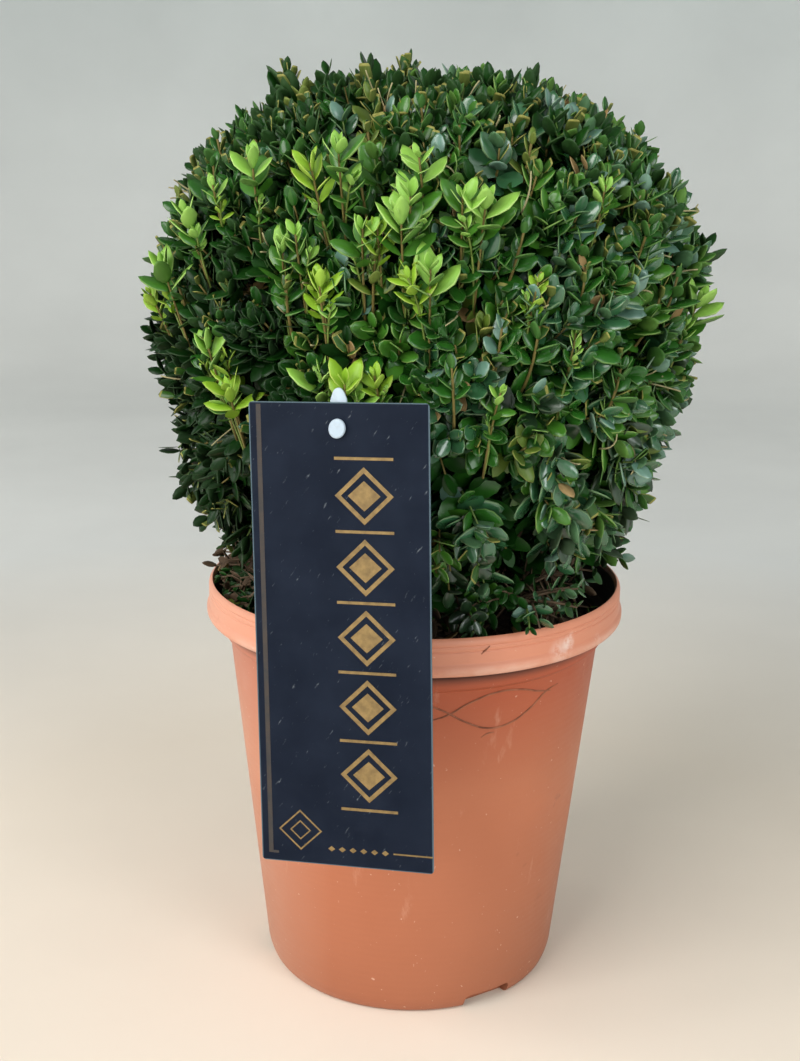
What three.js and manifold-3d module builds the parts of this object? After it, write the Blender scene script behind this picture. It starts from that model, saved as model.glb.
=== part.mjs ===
// A clipped box ball in a plastic nursery pot, with a hanging plant tag.
// Millimetres, +Z up, front towards -Y. The origin is the middle of the pot's underside.
import * as THREE from "three";
import { mergeVertices } from "three/addons/utils/BufferGeometryUtils.js";
import Module from "manifold-3d";

const wasm = await Module();
wasm.setup();

// Driving dimensions of the pot
const POT_SIDES = 32;
const POT_HEIGHT = 187;
const POT_WALL = 1.8;
const LIP_OUTER_RADIUS = 95;
const LIP_INNER_RADIUS = 91.7;
const LIP_HEIGHT = 16.5;
const SHOULDER_RADIUS = 87;
const SHOULDER_BOTTOM = 161;
const WALL_TOP_RADIUS = 84.7;
const WALL_BOTTOM_RADIUS = 68.3;
const CORNER_RADIUS = 6;
const FOOT_RING_WIDTH = 8;
const FOOT_PAD_RADIUS = 20;
const UNDERSIDE_RECESS = 3;
const DRAIN_HOLES = 6;
const DRAIN_HOLE_RADIUS = 4.5;
const DRAIN_CIRCLE_RADIUS = 38;
const NOTCHES = 3;
const NOTCH_WIDTH = 24;
const NOTCH_HEIGHT = 7;
const FIRST_NOTCH_TURN = -58;

// Driving dimensions of the soil and the limbs
const GAP = 0.3;
const SOIL_TOP = 170;
const SOIL_EDGE = 167;
const STEM_FOOT_RADIUS = 12;
const STEM_RADIUS = 7.5;
const STEM_TOP_RADIUS = 6;
const STEM_FLARE_HEIGHT = 9;
const STEM_LEAN = 4;
const BALL_BOUGHS = 4;
const BALL_BOUGH_START = 190;
const BALL_BOUGH_REACH = 40;
const SKIRT_SPRAYS = 5;
const SKIRT_BOUGH_START = 178;
const SKIRT_BOUGH_REACH = 46;
const SKIRT_BOUGH_END = 189;
const SKIRT_REACH = 82;
const SKIRT_RISE = 9;
const SKIRT_TWIGS = 5;
const SKIRT_TWIG_LENGTH = 21;
const BOUGH_RADIUS = 3.2;
const BOUGH_TIP_RADIUS = 2.2;

// Driving dimensions of the crown: an egg of turned superellipse section, blunt at the top
const CROWN_X = 3;
const CROWN_WIDEST = 311;
const CROWN_RADIUS = 123;
const CROWN_ABOVE = 101;
const CROWN_BELOW = 170;
const BLUNTNESS_ABOVE = 2.5;
const BLUNTNESS_BELOW = 2;
const CORE_DEPTH = 30;
const CORE_ROUGHNESS = 3;
const CORE_SQUAT = 0.88;
const BALL_BOTTOM = 206;
const SHOOTS = 95;
const LOWEST_SHOOT = -0.72;
const SHOOT_UNEVENNESS = 0.06;
const SHOOT_ROOT_DEPTH = 8;
const LEAF_LENGTH = 29;
const LEAF_WIDTH = 17;
const LEAF_THICKNESS = 1.6;
const LEAF_WIDEST = 0.58;
const LEAF_ROOT_SUNK = 0.4;
const TWIG_RADIUS = 2.4;
const TWIG_TAPER = 0.75;
const LEAF_TRIES = [[0, 1], [-16, 1], [14, 1], [-28, 1], [0, 0.75], [-20, 0.75]];
const CLEARANCE = 0.8;

// Driving dimensions of the plant tag and its tie
const TAG_WIDTH = 69;
const TAG_HEIGHT = 180;
const TAG_THICKNESS = 0.8;
const TAG_CORNER = 1.5;
const TAG_CENTRE = new THREE.Vector3(-28, -127.5, 198);
const TAG_TURN = -14;
const TAG_TILT = 4;
const TAG_ROLL = -2.5;
const TAG_HOLE_RADIUS = 2.6;
const TAG_HOLE_DROP = 9.5;
const TIE_HEAD_WIDTH = 6.4;
const TIE_HEAD_HEIGHT = 7.4;
const TIE_HEAD_DEPTH = 1.8;
const TIE_SHANK = 3;
const TIE_STRAP_DEPTH = 1.2;
const TIE_LENGTH = 46;
const TIE_POINT_RISE = 5.5;
const SHANK_CLEARANCE = 1.5;

const UP = new THREE.Vector3(0, 0, 1);
const GOLDEN_ANGLE = Math.PI * (3 - Math.sqrt(5));
const radians = THREE.MathUtils.degToRad;
const mix = THREE.MathUtils.lerp;

const materials = {
  pot: new THREE.MeshStandardMaterial({ color: "#b5714f", roughness: 0.55, metalness: 0 }),
  soil: new THREE.MeshStandardMaterial({ color: "#2b2019", roughness: 1, metalness: 0 }),
  bark: new THREE.MeshStandardMaterial({ color: "#8b7256", roughness: 0.85, metalness: 0 }),
  leaf: new THREE.MeshStandardMaterial({ color: "#3d5c26", roughness: 0.45, metalness: 0 }),
  tag: new THREE.MeshStandardMaterial({ color: "#1b2740", roughness: 0.4, metalness: 0 }),
  tie: new THREE.MeshStandardMaterial({ color: "#e8e8e4", roughness: 0.5, metalness: 0 }),
};

const plant = new THREE.Group();

function addNode(name, geometry, material) {
  const mesh = new THREE.Mesh(geometry, material);
  mesh.name = name;
  plant.add(mesh);
  return mesh;
}

// A number from 0 to 1 that always comes out the same for the same shoot and use
function chance(shoot, use) {
  const wave = Math.sin(shoot * 127.1 + use * 311.7) * 43758.5453;
  return wave - Math.floor(wave);
}

// Solids and geometries are turned into each other to join and cut them
function solidOf(geometry) {
  const bare = geometry.clone();
  bare.deleteAttribute("normal");
  bare.deleteAttribute("uv");
  const merged = mergeVertices(bare, 1e-4);
  return new wasm.Manifold(new wasm.Mesh({
    numProp: 3,
    vertProperties: new Float32Array(merged.attributes.position.array),
    triVerts: new Uint32Array(merged.index.array),
  }));
}

function geometryOf(solid) {
  const mesh = solid.getMesh();
  const geometry = new THREE.BufferGeometry();
  geometry.setAttribute("position", new THREE.BufferAttribute(mesh.vertProperties, 3));
  geometry.setIndex(new THREE.BufferAttribute(mesh.triVerts, 1));
  geometry.computeVertexNormals();
  return geometry;
}

function join(solids) {
  return wasm.Manifold.union(solids);
}

function boxSolid(width, depth, height, centre) {
  const box = new THREE.BoxGeometry(width, depth, height);
  box.translate(centre.x, centre.y, centre.z);
  return solidOf(box);
}

// A turned body: points are [radius, height] pairs, and it stands along Z
function turned(points, sides) {
  const profile = points.map(([radius, height]) => new THREE.Vector2(radius, height));
  const lathe = new THREE.LatheGeometry(profile, sides);
  lathe.rotateX(Math.PI / 2);
  return lathe;
}

// A limb: a cylinder bent along a curve, with its radius given by a function of the way along it
function limb(path, radiusAt, sides, steps) {
  const frames = path.computeFrenetFrames(steps);
  const tube = new THREE.CylinderGeometry(1, 1, 1, sides, steps);
  const position = tube.attributes.position;
  for (let i = 0; i < position.count; i += 1) {
    const along = position.getY(i) + 0.5;
    const step = Math.round(along * steps);
    const radius = radiusAt(along);
    const place = path.getPointAt(Math.min(1, Math.max(0, along)));
    place.addScaledVector(frames.normals[step], position.getX(i) * radius);
    place.addScaledVector(frames.binormals[step], -position.getZ(i) * radius);
    position.setXYZ(i, place.x, place.y, place.z);
  }
  return tube;
}

// The pot: foot ring, recessed underside, tapered wall, stacking shoulder and rolled lip
function potSolid() {
  const lipBottom = POT_HEIGHT - LIP_HEIGHT;
  const footOuter = WALL_BOTTOM_RADIUS - CORNER_RADIUS * 0.55;
  const footInner = footOuter - FOOT_RING_WIDTH;
  const floor = UNDERSIDE_RECESS + POT_WALL;
  const body = solidOf(turned([
    [0, 0],
    [FOOT_PAD_RADIUS, 0],
    [FOOT_PAD_RADIUS + 2, UNDERSIDE_RECESS],
    [footInner - 2, UNDERSIDE_RECESS],
    [footInner, 0],
    [footOuter, 0],
    [WALL_BOTTOM_RADIUS - 0.9, CORNER_RADIUS * 0.3],
    [WALL_BOTTOM_RADIUS, CORNER_RADIUS],
    [WALL_TOP_RADIUS, SHOULDER_BOTTOM],
    [SHOULDER_RADIUS, SHOULDER_BOTTOM + 1.5],
    [SHOULDER_RADIUS, lipBottom],
    [LIP_OUTER_RADIUS - 1, lipBottom],
    [LIP_OUTER_RADIUS, lipBottom + 1.5],
    [LIP_OUTER_RADIUS, POT_HEIGHT - 2.5],
    [LIP_OUTER_RADIUS - 1, POT_HEIGHT - 0.4],
    [LIP_OUTER_RADIUS - 1.8, POT_HEIGHT],
    [LIP_INNER_RADIUS, POT_HEIGHT - 0.8],
    [SHOULDER_RADIUS + POT_WALL, lipBottom + POT_WALL],
    [SHOULDER_RADIUS - POT_WALL, lipBottom],
    [SHOULDER_RADIUS - POT_WALL, SHOULDER_BOTTOM],
    [WALL_TOP_RADIUS - POT_WALL, SHOULDER_BOTTOM - 1.5],
    [WALL_BOTTOM_RADIUS - POT_WALL - 3, floor],
    [0, floor],
  ], POT_SIDES));
  const holes = [];
  for (let i = 0; i < DRAIN_HOLES; i += 1) {
    const turn = (i / DRAIN_HOLES) * Math.PI * 2;
    const hole = new THREE.CylinderGeometry(DRAIN_HOLE_RADIUS, DRAIN_HOLE_RADIUS, floor * 3, 8);
    hole.rotateX(Math.PI / 2);
    hole.translate(Math.cos(turn) * DRAIN_CIRCLE_RADIUS, Math.sin(turn) * DRAIN_CIRCLE_RADIUS, 0);
    holes.push(solidOf(hole));
  }
  for (let i = 0; i < NOTCHES; i += 1) {
    const notch = new THREE.BoxGeometry(CORNER_RADIUS * 2.4, NOTCH_WIDTH, NOTCH_HEIGHT * 2);
    notch.translate(WALL_BOTTOM_RADIUS - 1, 0, 0);
    notch.rotateZ(radians(FIRST_NOTCH_TURN) + (i / NOTCHES) * Math.PI * 2);
    holes.push(solidOf(notch));
  }
  return body.subtract(join(holes));
}

// The soil fills the pot up to the foot of the lip, with a shallow dome
function soilGeometry() {
  const floor = UNDERSIDE_RECESS + POT_WALL + GAP;
  const slack = POT_WALL + GAP + 0.1;
  return turned([
    [0, floor],
    [WALL_BOTTOM_RADIUS - slack - 3, floor],
    [WALL_TOP_RADIUS - slack, SHOULDER_BOTTOM - 1.7],
    [SHOULDER_RADIUS - slack, SHOULDER_BOTTOM + 0.3],
    [SHOULDER_RADIUS - slack, SOIL_EDGE],
    [STEM_FOOT_RADIUS * 3.5, SOIL_TOP - 0.6],
    [STEM_FOOT_RADIUS * 1.6, SOIL_TOP],
    [0, SOIL_TOP],
  ], POT_SIDES);
}

const levelBelow = (height) => boxSolid(400, 400, 400, new THREE.Vector3(0, 0, height - 200));
const levelAbove = (height) => boxSolid(600, 600, 600, new THREE.Vector3(0, 0, height + 300));

// The main stem: a flat cut at soil level, a root flare, and a slight lean up to its fork.
// It is made a little long at both ends and then cut level.
function stemSolid(extra) {
  const foot = SOIL_TOP - 3;
  const top = BALL_BOTTOM + 3;
  const points = [0, 0.35, 0.7, 1].map((along) => (
    new THREE.Vector3(STEM_LEAN * along * along, -STEM_LEAN * 0.5 * along, mix(foot, top, along))
  ));
  const flare = (STEM_FLARE_HEIGHT + 3) / (top - foot);
  const radiusAt = (along) => {
    const spread = Math.max(0, 1 - along / flare) ** 2;
    return mix(STEM_RADIUS, STEM_TOP_RADIUS, along) + (STEM_FOOT_RADIUS - STEM_RADIUS) * spread + extra;
  };
  const stem = solidOf(limb(new THREE.CatmullRomCurve3(points), radiusAt, 10, 6));
  return stem.intersect(levelAbove(SOIL_TOP + GAP)).intersect(levelBelow(BALL_BOTTOM - GAP));
}

// One bough: a tapering limb that leaves the side of the stem and ends where it enters a mass
function boughPath(turn, start, reach, end) {
  const out = new THREE.Vector3(Math.cos(turn), Math.sin(turn), 0);
  const place = (radius, height) => out.clone().multiplyScalar(radius).setZ(height);
  return new THREE.CatmullRomCurve3([
    place(2, start - 3),
    place(reach * 0.35, mix(start, end, 0.22)),
    place(reach * 0.72, mix(start, end, 0.6)),
    place(reach, end),
  ]);
}

function boughSolid(path) {
  const radiusAt = (along) => mix(BOUGH_RADIUS, BOUGH_TIP_RADIUS, along);
  return solidOf(limb(path, radiusAt, 6, 4));
}

// The crown's surface: distance from the middle of its widest ring along a direction
function crownReach(direction) {
  const flat = Math.hypot(direction.x, direction.y);
  const half = direction.z > 0 ? CROWN_ABOVE : CROWN_BELOW;
  const bluntness = direction.z > 0 ? BLUNTNESS_ABOVE : BLUNTNESS_BELOW;
  const sum = (flat / CROWN_RADIUS) ** bluntness + (Math.abs(direction.z) / half) ** bluntness;
  return sum ** (-1 / bluntness);
}

const crownMiddle = new THREE.Vector3(CROWN_X, 0, CROWN_WIDEST);

function crownPoint(direction, depth) {
  return crownMiddle.clone().addScaledVector(direction, crownReach(direction) - depth);
}

// A point of the core's surface, or deeper: below the widest ring the core is drawn in
function corePoint(direction, depth) {
  const place = crownPoint(direction, CORE_DEPTH + depth);
  if (place.z < CROWN_WIDEST) {
    place.z = mix(CROWN_WIDEST, place.z, CORE_SQUAT);
  }
  return place;
}

function insideCrown(point) {
  const ray = point.clone().sub(crownMiddle);
  const distance = ray.length();
  return distance < crownReach(ray.normalize());
}

// The tag's own frame: X across the card, Y up the card, Z out of its front
const tagFrame = new THREE.Matrix4().compose(
  TAG_CENTRE,
  new THREE.Quaternion().setFromEuler(new THREE.Euler(
    radians(90 - TAG_TILT),
    radians(TAG_ROLL),
    radians(TAG_TURN),
    "ZYX",
  )),
  new THREE.Vector3(1, 1, 1),
);
const intoTag = tagFrame.clone().invert();

function clearOfTag(point) {
  const local = point.clone().applyMatrix4(intoTag);
  const beside = Math.abs(local.x) > TAG_WIDTH / 2 + 2 || Math.abs(local.y) > TAG_HEIGHT / 2 + 7;
  return (beside || local.z < -TAG_THICKNESS - 3) && clearOfShank(local);
}

function clearOfShank(local) {
  const side = Math.abs(local.x);
  const height = Math.abs(local.y - TAG_HEIGHT / 2 + TAG_HOLE_DROP);
  const beside = Math.max(side, height) > TIE_SHANK / 2 + SHANK_CLEARANCE;
  return beside || local.z < -TIE_LENGTH - SHANK_CLEARANCE;
}

// A leaf of eight faces: widest past its middle, with its root at the origin, along Y, facing Z
function leafGeometry(length, width) {
  const leaf = new THREE.OctahedronGeometry(1, 0);
  const position = leaf.attributes.position;
  for (let i = 0; i < position.count; i += 1) {
    const x = position.getX(i) * width * 0.5;
    const y = position.getY(i) > 0.5 ? length : (position.getY(i) < -0.5 ? 0 : length * LEAF_WIDEST);
    position.setXYZ(i, x, y, position.getZ(i) * LEAF_THICKNESS * 0.5);
  }
  return leaf;
}

// A leaf's corners and the middles of its edges, without the corner that is sunk in the twig
function samplesOf(leaf, sunk) {
  const position = leaf.attributes.position;
  const samples = [];
  for (let i = 0; i < position.count; i += 1) {
    const corner = new THREE.Vector3().fromBufferAttribute(position, i);
    const next = new THREE.Vector3().fromBufferAttribute(position, i % 3 === 2 ? i - 2 : i + 1);
    if (corner.distanceTo(sunk) > 0.01) {
      samples.push(corner);
    }
    samples.push(corner.clone().lerp(next, 0.5));
  }
  return samples;
}

// A leaf whose root is sunk in its twig, or nothing where it would leave its mass's own space
function leafSolid(root, along, face, length, inSpace) {
  const side = new THREE.Vector3().crossVectors(along, face).normalize();
  const normal = new THREE.Vector3().crossVectors(side, along).normalize();
  const sunk = root.clone().addScaledVector(along, -LEAF_ROOT_SUNK);
  const leaf = leafGeometry(length + LEAF_ROOT_SUNK, LEAF_WIDTH * (length / LEAF_LENGTH));
  leaf.applyMatrix4(new THREE.Matrix4().makeBasis(side, along, normal).setPosition(sunk));
  return samplesOf(leaf, sunk).every(inSpace) ? solidOf(leaf) : null;
}

// A three-sided twig that tapers from its root to its tip
function twigSolid(from, to, radius) {
  const along = to.clone().sub(from);
  const section = new THREE.Shape();
  section.moveTo(radius, 0);
  section.lineTo(-radius * 0.5, radius * Math.sin(Math.PI / 3));
  section.lineTo(-radius * 0.5, -radius * Math.sin(Math.PI / 3));
  const twig = new THREE.ExtrudeGeometry(section, { depth: along.length(), bevelEnabled: false });
  const position = twig.attributes.position;
  for (let i = 0; i < position.count; i += 1) {
    const scale = mix(1, TWIG_TAPER, position.getZ(i) / along.length());
    position.setXY(i, position.getX(i) * scale, position.getY(i) * scale);
  }
  twig.applyQuaternion(new THREE.Quaternion().setFromUnitVectors(UP, along.normalize()));
  twig.translate(from.x, from.y, from.z);
  return solidOf(twig);
}

// A pair of opposite leaves at one point of a twig, leaning out from it by an angle.
// A leaf that would cross one of another twig leans otherwise, then is shorter, or is left out.
function leafPair(point, along, side, lean, length, inSpace, others) {
  const leaves = [];
  for (const sense of [1, -1]) {
    for (const [change, scale] of LEAF_TRIES) {
      const angle = lean + radians(change);
      const out = along.clone().multiplyScalar(Math.cos(angle));
      out.addScaledVector(side, sense * Math.sin(angle));
      const face = along.clone().multiplyScalar(Math.sin(angle));
      face.addScaledVector(side, -sense * Math.cos(angle));
      const leaf = leafSolid(point, out, face, length * scale, inSpace);
      if (leaf && !others.some((other) => crosses(leaf, other))) {
        leaves.push(leaf);
        break;
      }
    }
  }
  return leaves;
}

function crosses(leaf, other) {
  const a = leaf.boundingBox();
  const b = other.boundingBox();
  const apart = [0, 1, 2].some((axis) => a.min[axis] > b.max[axis] || b.min[axis] > a.max[axis]);
  return !apart && leaf.intersect(other).volume() > 0;
}

// One clipped shoot of the ball: a twig out of the core, with two crossed pairs of leaves
function ballShoot(index, others) {
  const level = mix(LOWEST_SHOOT, 0.995, (index + 0.5) / SHOOTS);
  const turn = index * GOLDEN_ANGLE + (chance(index, 1) - 0.5) * 0.25;
  const flat = Math.sqrt(1 - level * level);
  const direction = new THREE.Vector3(Math.cos(turn) * flat, Math.sin(turn) * flat, level);
  const tip = crownPoint(direction, chance(index, 2) * SHOOT_UNEVENNESS * CROWN_RADIUS);
  const growth = direction.clone().addScaledVector(UP, 0.3 * chance(index, 3)).normalize();
  const length = LEAF_LENGTH * mix(0.88, 1.08, chance(index, 4));
  const end = tip.clone().addScaledVector(growth, -length * 0.86);
  const root = corePoint(direction, SHOOT_ROOT_DEPTH);
  const along = end.clone().sub(root).normalize();
  const first = new THREE.Vector3().crossVectors(along, UP);
  if (first.lengthSq() < 0.01) {
    first.set(1, 0, 0);
  }
  first.normalize().applyAxisAngle(along, chance(index, 5) * Math.PI);
  const second = new THREE.Vector3().crossVectors(along, first);
  const inSpace = (point) => (
    insideCrown(point) && point.z > BALL_BOTTOM + CLEARANCE && clearOfTag(point)
  );
  const low = root.clone().lerp(end, 0.72);
  const onTwig = [0, 0.2, 0.4, 0.6, 0.8, 1].map((part) => root.clone().lerp(end, part));
  if (!onTwig.every(clearOfTag)) {
    return [];
  }
  return [
    twigSolid(root, end.clone().addScaledVector(along, 3), TWIG_RADIUS),
    ...leafPair(low, along, first, radians(58), length, inSpace, others),
    ...leafPair(end, along, second, radians(mix(22, 38, chance(index, 6))), length, inSpace, others),
  ];
}

// The ball's core: the crown's own shape, smaller and rough, cut flat where the limbs enter it
function coreSolid() {
  const core = new THREE.SphereGeometry(1, 20, 12);
  const merged = mergeVertices(core.deleteAttribute("normal").deleteAttribute("uv"), 1e-4);
  const position = merged.attributes.position;
  const direction = new THREE.Vector3();
  for (let i = 0; i < position.count; i += 1) {
    direction.fromBufferAttribute(position, i).normalize();
    const place = corePoint(direction, (chance(i, 7) - 0.5) * 2 * CORE_ROUGHNESS);
    position.setXYZ(i, place.x, place.y, place.z);
  }
  return solidOf(merged).intersect(levelAbove(BALL_BOTTOM));
}

function ballSolid(pocket) {
  const core = coreSolid();
  const pieces = [];
  for (let i = 0; i < SHOOTS; i += 1) {
    pieces.push(...ballShoot(i, pieces));
  }
  return join([core, ...pieces]).subtract(pocket);
}

// A side twig of a skirt spray, with two crossed pairs of leaves
function leafyTwig(index, from, along, length, inSpace, others) {
  const to = from.clone().addScaledVector(along, length);
  const side = new THREE.Vector3().crossVectors(along, UP).normalize();
  const across = new THREE.Vector3().crossVectors(side, along);
  const size = LEAF_LENGTH * mix(0.75, 0.95, chance(index, 11));
  const low = from.clone().lerp(to, 0.4);
  const high = from.clone().lerp(to, 0.85);
  return [
    twigSolid(from.clone().addScaledVector(along, -1.5), to, TWIG_RADIUS * 0.9),
    ...leafPair(low, along, across, radians(mix(50, 70, chance(index, 12))), size, inSpace, others),
    ...leafPair(high, along, side, radians(mix(25, 45, chance(index, 13))), size, inSpace, others),
  ];
}

// One skirt spray: an open mass with no core, inside its own wedge between the pot and the ball
function skirtSolid(number, start, heading) {
  const turn = skirtTurn(number);
  const out = new THREE.Vector3(Math.cos(turn), Math.sin(turn), 0);
  const sideways = new THREE.Vector3(-Math.sin(turn), Math.cos(turn), 0);
  const wedge = Math.tan(Math.PI / SKIRT_SPRAYS);
  const inSpace = (point) => {
    const radius = Math.hypot(point.x, point.y);
    const forward = point.dot(out);
    const inWedge = Math.abs(point.dot(sideways)) < forward * wedge - CLEARANCE;
    const floor = radius > SHOULDER_RADIUS - POT_WALL - 1.5 ? POT_HEIGHT + CLEARANCE : SOIL_TOP + CLEARANCE;
    const inHeight = point.z > floor && point.z < BALL_BOTTOM - CLEARANCE;
    return inWedge && inHeight && radius > SKIRT_BOUGH_REACH + 3 && insideCrown(point) && clearOfTag(point);
  };
  const from = start.clone().addScaledVector(heading, GAP);
  const place = (radius, height) => out.clone().multiplyScalar(radius).setZ(height);
  const tip = place(SKIRT_REACH, SKIRT_BOUGH_END + SKIRT_RISE * mix(0.6, 1, chance(number, 21)));
  const points = [from, from.clone().addScaledVector(heading, 8), place(SKIRT_REACH * 0.8, tip.z - 1), tip];
  const radiusAt = (along) => mix(BOUGH_TIP_RADIUS, 1.2, along);
  const path = new THREE.CatmullRomCurve3(points);
  const pieces = [solidOf(limb(path, radiusAt, 5, 4))];
  for (let i = 0; i < SKIRT_TWIGS; i += 1) {
    const index = 1000 + number * 50 + i;
    const along = mix(0.3, 0.98, i / (SKIRT_TWIGS - 1));
    const root = path.getPointAt(along);
    const swing = (i % 2 ? 1 : -1) * radians(mix(80, 25, along) + 20 * chance(index, 22));
    const rise = mix(-0.4, 0.4, chance(index, 23));
    const growth = out.clone().applyAxisAngle(UP, swing).addScaledVector(UP, rise).normalize();
    const length = SKIRT_TWIG_LENGTH * mix(0.7, 1.2, chance(index, 24)) * mix(1.1, 0.6, along);
    pieces.push(...leafyTwig(index, root, growth, length, inSpace, pieces.slice(1)));
  }
  return join(pieces);
}

// The plant tag: a plain card with a hole near its top edge
function tagGeometry() {
  const width = TAG_WIDTH / 2;
  const height = TAG_HEIGHT / 2;
  const card = new THREE.Shape();
  card.moveTo(-width + TAG_CORNER, -height);
  card.absarc(width - TAG_CORNER, -height + TAG_CORNER, TAG_CORNER, -Math.PI / 2, 0);
  card.absarc(width - TAG_CORNER, height - TAG_CORNER, TAG_CORNER, 0, Math.PI / 2);
  card.absarc(-width + TAG_CORNER, height - TAG_CORNER, TAG_CORNER, Math.PI / 2, Math.PI);
  card.absarc(-width + TAG_CORNER, -height + TAG_CORNER, TAG_CORNER, Math.PI, Math.PI * 1.5);
  const hole = new THREE.Path();
  hole.absarc(0, height - TAG_HOLE_DROP, TAG_HOLE_RADIUS, 0, Math.PI * 2);
  card.holes.push(hole);
  const settings = { depth: TAG_THICKNESS, bevelEnabled: false, curveSegments: 4 };
  const solid = new THREE.ExtrudeGeometry(card, settings);
  solid.translate(0, 0, -TAG_THICKNESS / 2);
  return solid.applyMatrix4(tagFrame);
}

// A block given in the tag's own frame
function tagBlock(width, height, front, back) {
  const block = new THREE.BoxGeometry(width, height, front - back);
  block.translate(0, TAG_HEIGHT / 2 - TAG_HOLE_DROP, (front + back) / 2);
  return block;
}

// The tie: a head in front of the card, a shank back into the foliage and a pointed strap behind
function tieGeometry() {
  const face = TAG_THICKNESS / 2 + GAP;
  const head = tagBlock(TIE_HEAD_WIDTH, TIE_HEAD_HEIGHT, face + TIE_HEAD_DEPTH, face);
  const shank = tagBlock(TIE_SHANK, TIE_SHANK, face + TIE_HEAD_DEPTH / 2, -TIE_LENGTH);
  const strap = new THREE.Shape();
  const half = TIE_HEAD_WIDTH / 2;
  strap.moveTo(-half, -half);
  strap.lineTo(half, -half);
  strap.lineTo(half, TAG_HOLE_DROP);
  strap.lineTo(0, TAG_HOLE_DROP + TIE_POINT_RISE);
  strap.lineTo(-half, TAG_HOLE_DROP);
  const back = new THREE.ExtrudeGeometry(strap, { depth: TIE_STRAP_DEPTH, bevelEnabled: false });
  back.translate(0, TAG_HEIGHT / 2 - TAG_HOLE_DROP, -face - TIE_STRAP_DEPTH);
  const tie = join([head, shank, back].map(solidOf));
  return geometryOf(tie).applyMatrix4(tagFrame);
}

// The slot between the twigs that the tie's shank is pushed into
function tieSlot() {
  const slot = tagBlock(TIE_SHANK + GAP * 2, TIE_SHANK + GAP * 2, 0, -TIE_LENGTH - GAP);
  return solidOf(slot.applyMatrix4(tagFrame));
}

const skirtTurn = (number) => ((number + 0.5) / SKIRT_SPRAYS) * Math.PI * 2 - Math.PI / 2;
const ballBoughTurn = (number) => (number / BALL_BOUGHS) * Math.PI * 2 + 0.35;

// The pot, its soil and the stem's limbs
addNode("pot", geometryOf(potSolid()), materials.pot);
addNode("soil", soilGeometry(), materials.soil);
addNode("main_stem", geometryOf(stemSolid(0)), materials.bark);

const stemWithGap = stemSolid(GAP);

for (let i = 0; i < BALL_BOUGHS; i += 1) {
  const reach = BALL_BOUGH_REACH * mix(0.85, 1.1, chance(i, 31));
  const start = BALL_BOUGH_START + 5 * chance(i, 32);
  const path = boughPath(ballBoughTurn(i), start, reach, BALL_BOTTOM + 4);
  const bough = boughSolid(path).subtract(stemWithGap).intersect(levelBelow(BALL_BOTTOM - GAP));
  addNode(`ball_bough_${i + 1}`, geometryOf(bough), materials.bark);
}

// The skirt's boughs, each with its spray, and the clipped ball over them
for (let i = 0; i < SKIRT_SPRAYS; i += 1) {
  const path = boughPath(skirtTurn(i), SKIRT_BOUGH_START, SKIRT_BOUGH_REACH, SKIRT_BOUGH_END);
  const bough = boughSolid(path).subtract(stemWithGap);
  addNode(`skirt_bough_${i + 1}`, geometryOf(bough), materials.bark);
  const spray = skirtSolid(i, path.getPointAt(1), path.getTangentAt(1));
  addNode(`skirt_spray_${i + 1}`, geometryOf(spray), materials.leaf);
}

addNode("crown_ball", geometryOf(ballSolid(tieSlot())), materials.leaf);
addNode("plant_tag", tagGeometry(), materials.tag);
addNode("tag_tie", tieGeometry(), materials.tie);

export default plant;
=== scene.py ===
"""A clipped box ball in a plastic nursery pot, with a hanging plant tag. Metres, +Z up, front towards -Y."""

import math

import bmesh
import bpy
import numpy as np
from mathutils import Matrix, Vector, noise


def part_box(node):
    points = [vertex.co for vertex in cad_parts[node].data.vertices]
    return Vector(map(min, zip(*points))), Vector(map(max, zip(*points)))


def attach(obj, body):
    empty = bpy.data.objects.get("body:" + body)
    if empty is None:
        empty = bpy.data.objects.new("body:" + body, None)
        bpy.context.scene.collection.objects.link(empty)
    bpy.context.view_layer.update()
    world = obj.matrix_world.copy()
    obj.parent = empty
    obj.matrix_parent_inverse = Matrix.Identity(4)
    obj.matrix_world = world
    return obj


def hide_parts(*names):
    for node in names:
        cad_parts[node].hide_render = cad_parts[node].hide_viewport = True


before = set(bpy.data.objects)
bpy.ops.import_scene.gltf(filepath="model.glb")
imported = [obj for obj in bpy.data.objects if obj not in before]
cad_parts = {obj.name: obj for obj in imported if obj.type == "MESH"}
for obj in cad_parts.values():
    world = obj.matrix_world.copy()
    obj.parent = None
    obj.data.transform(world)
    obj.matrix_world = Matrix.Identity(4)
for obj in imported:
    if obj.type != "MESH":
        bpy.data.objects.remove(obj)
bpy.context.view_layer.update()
scene = bpy.context.scene

# Camera: a hand-held camera about 0.6 m from the pot, a little above the ball's middle and looking
# down at it, turned slightly about its own axis.
image_height = 1061
focal_pixels = 1500
camera_place = Matrix.Translation((-0.00695, -0.6616, 0.3854))
camera_pitch = Matrix.Rotation(math.radians(74.907), 4, "X")
camera_roll = Matrix.Rotation(math.radians(0.734), 4, "Z")
camera_data = bpy.data.cameras.new("photo_camera")
camera_data.sensor_width = 36
camera_data.lens = focal_pixels / image_height * camera_data.sensor_width
camera = bpy.data.objects.new("photo_camera", camera_data)
camera.matrix_world = camera_place @ camera_pitch @ camera_roll
scene.collection.objects.link(camera)
scene.camera = camera

# Light: one broad soft light from the upper left front, as from a wide doorway, a weaker one from
# the right, a little from the left and a pale room all round.
scene.view_settings.view_transform = "Standard"
room = bpy.data.worlds.new("pale_room")
room.use_nodes = True
background = room.node_tree.nodes["Background"].inputs
background["Color"].default_value = (0.86, 0.88, 0.88, 1)
background["Strength"].default_value = 0.36
scene.world = room
light_aim = Vector((0, 0, 0.22))
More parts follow.
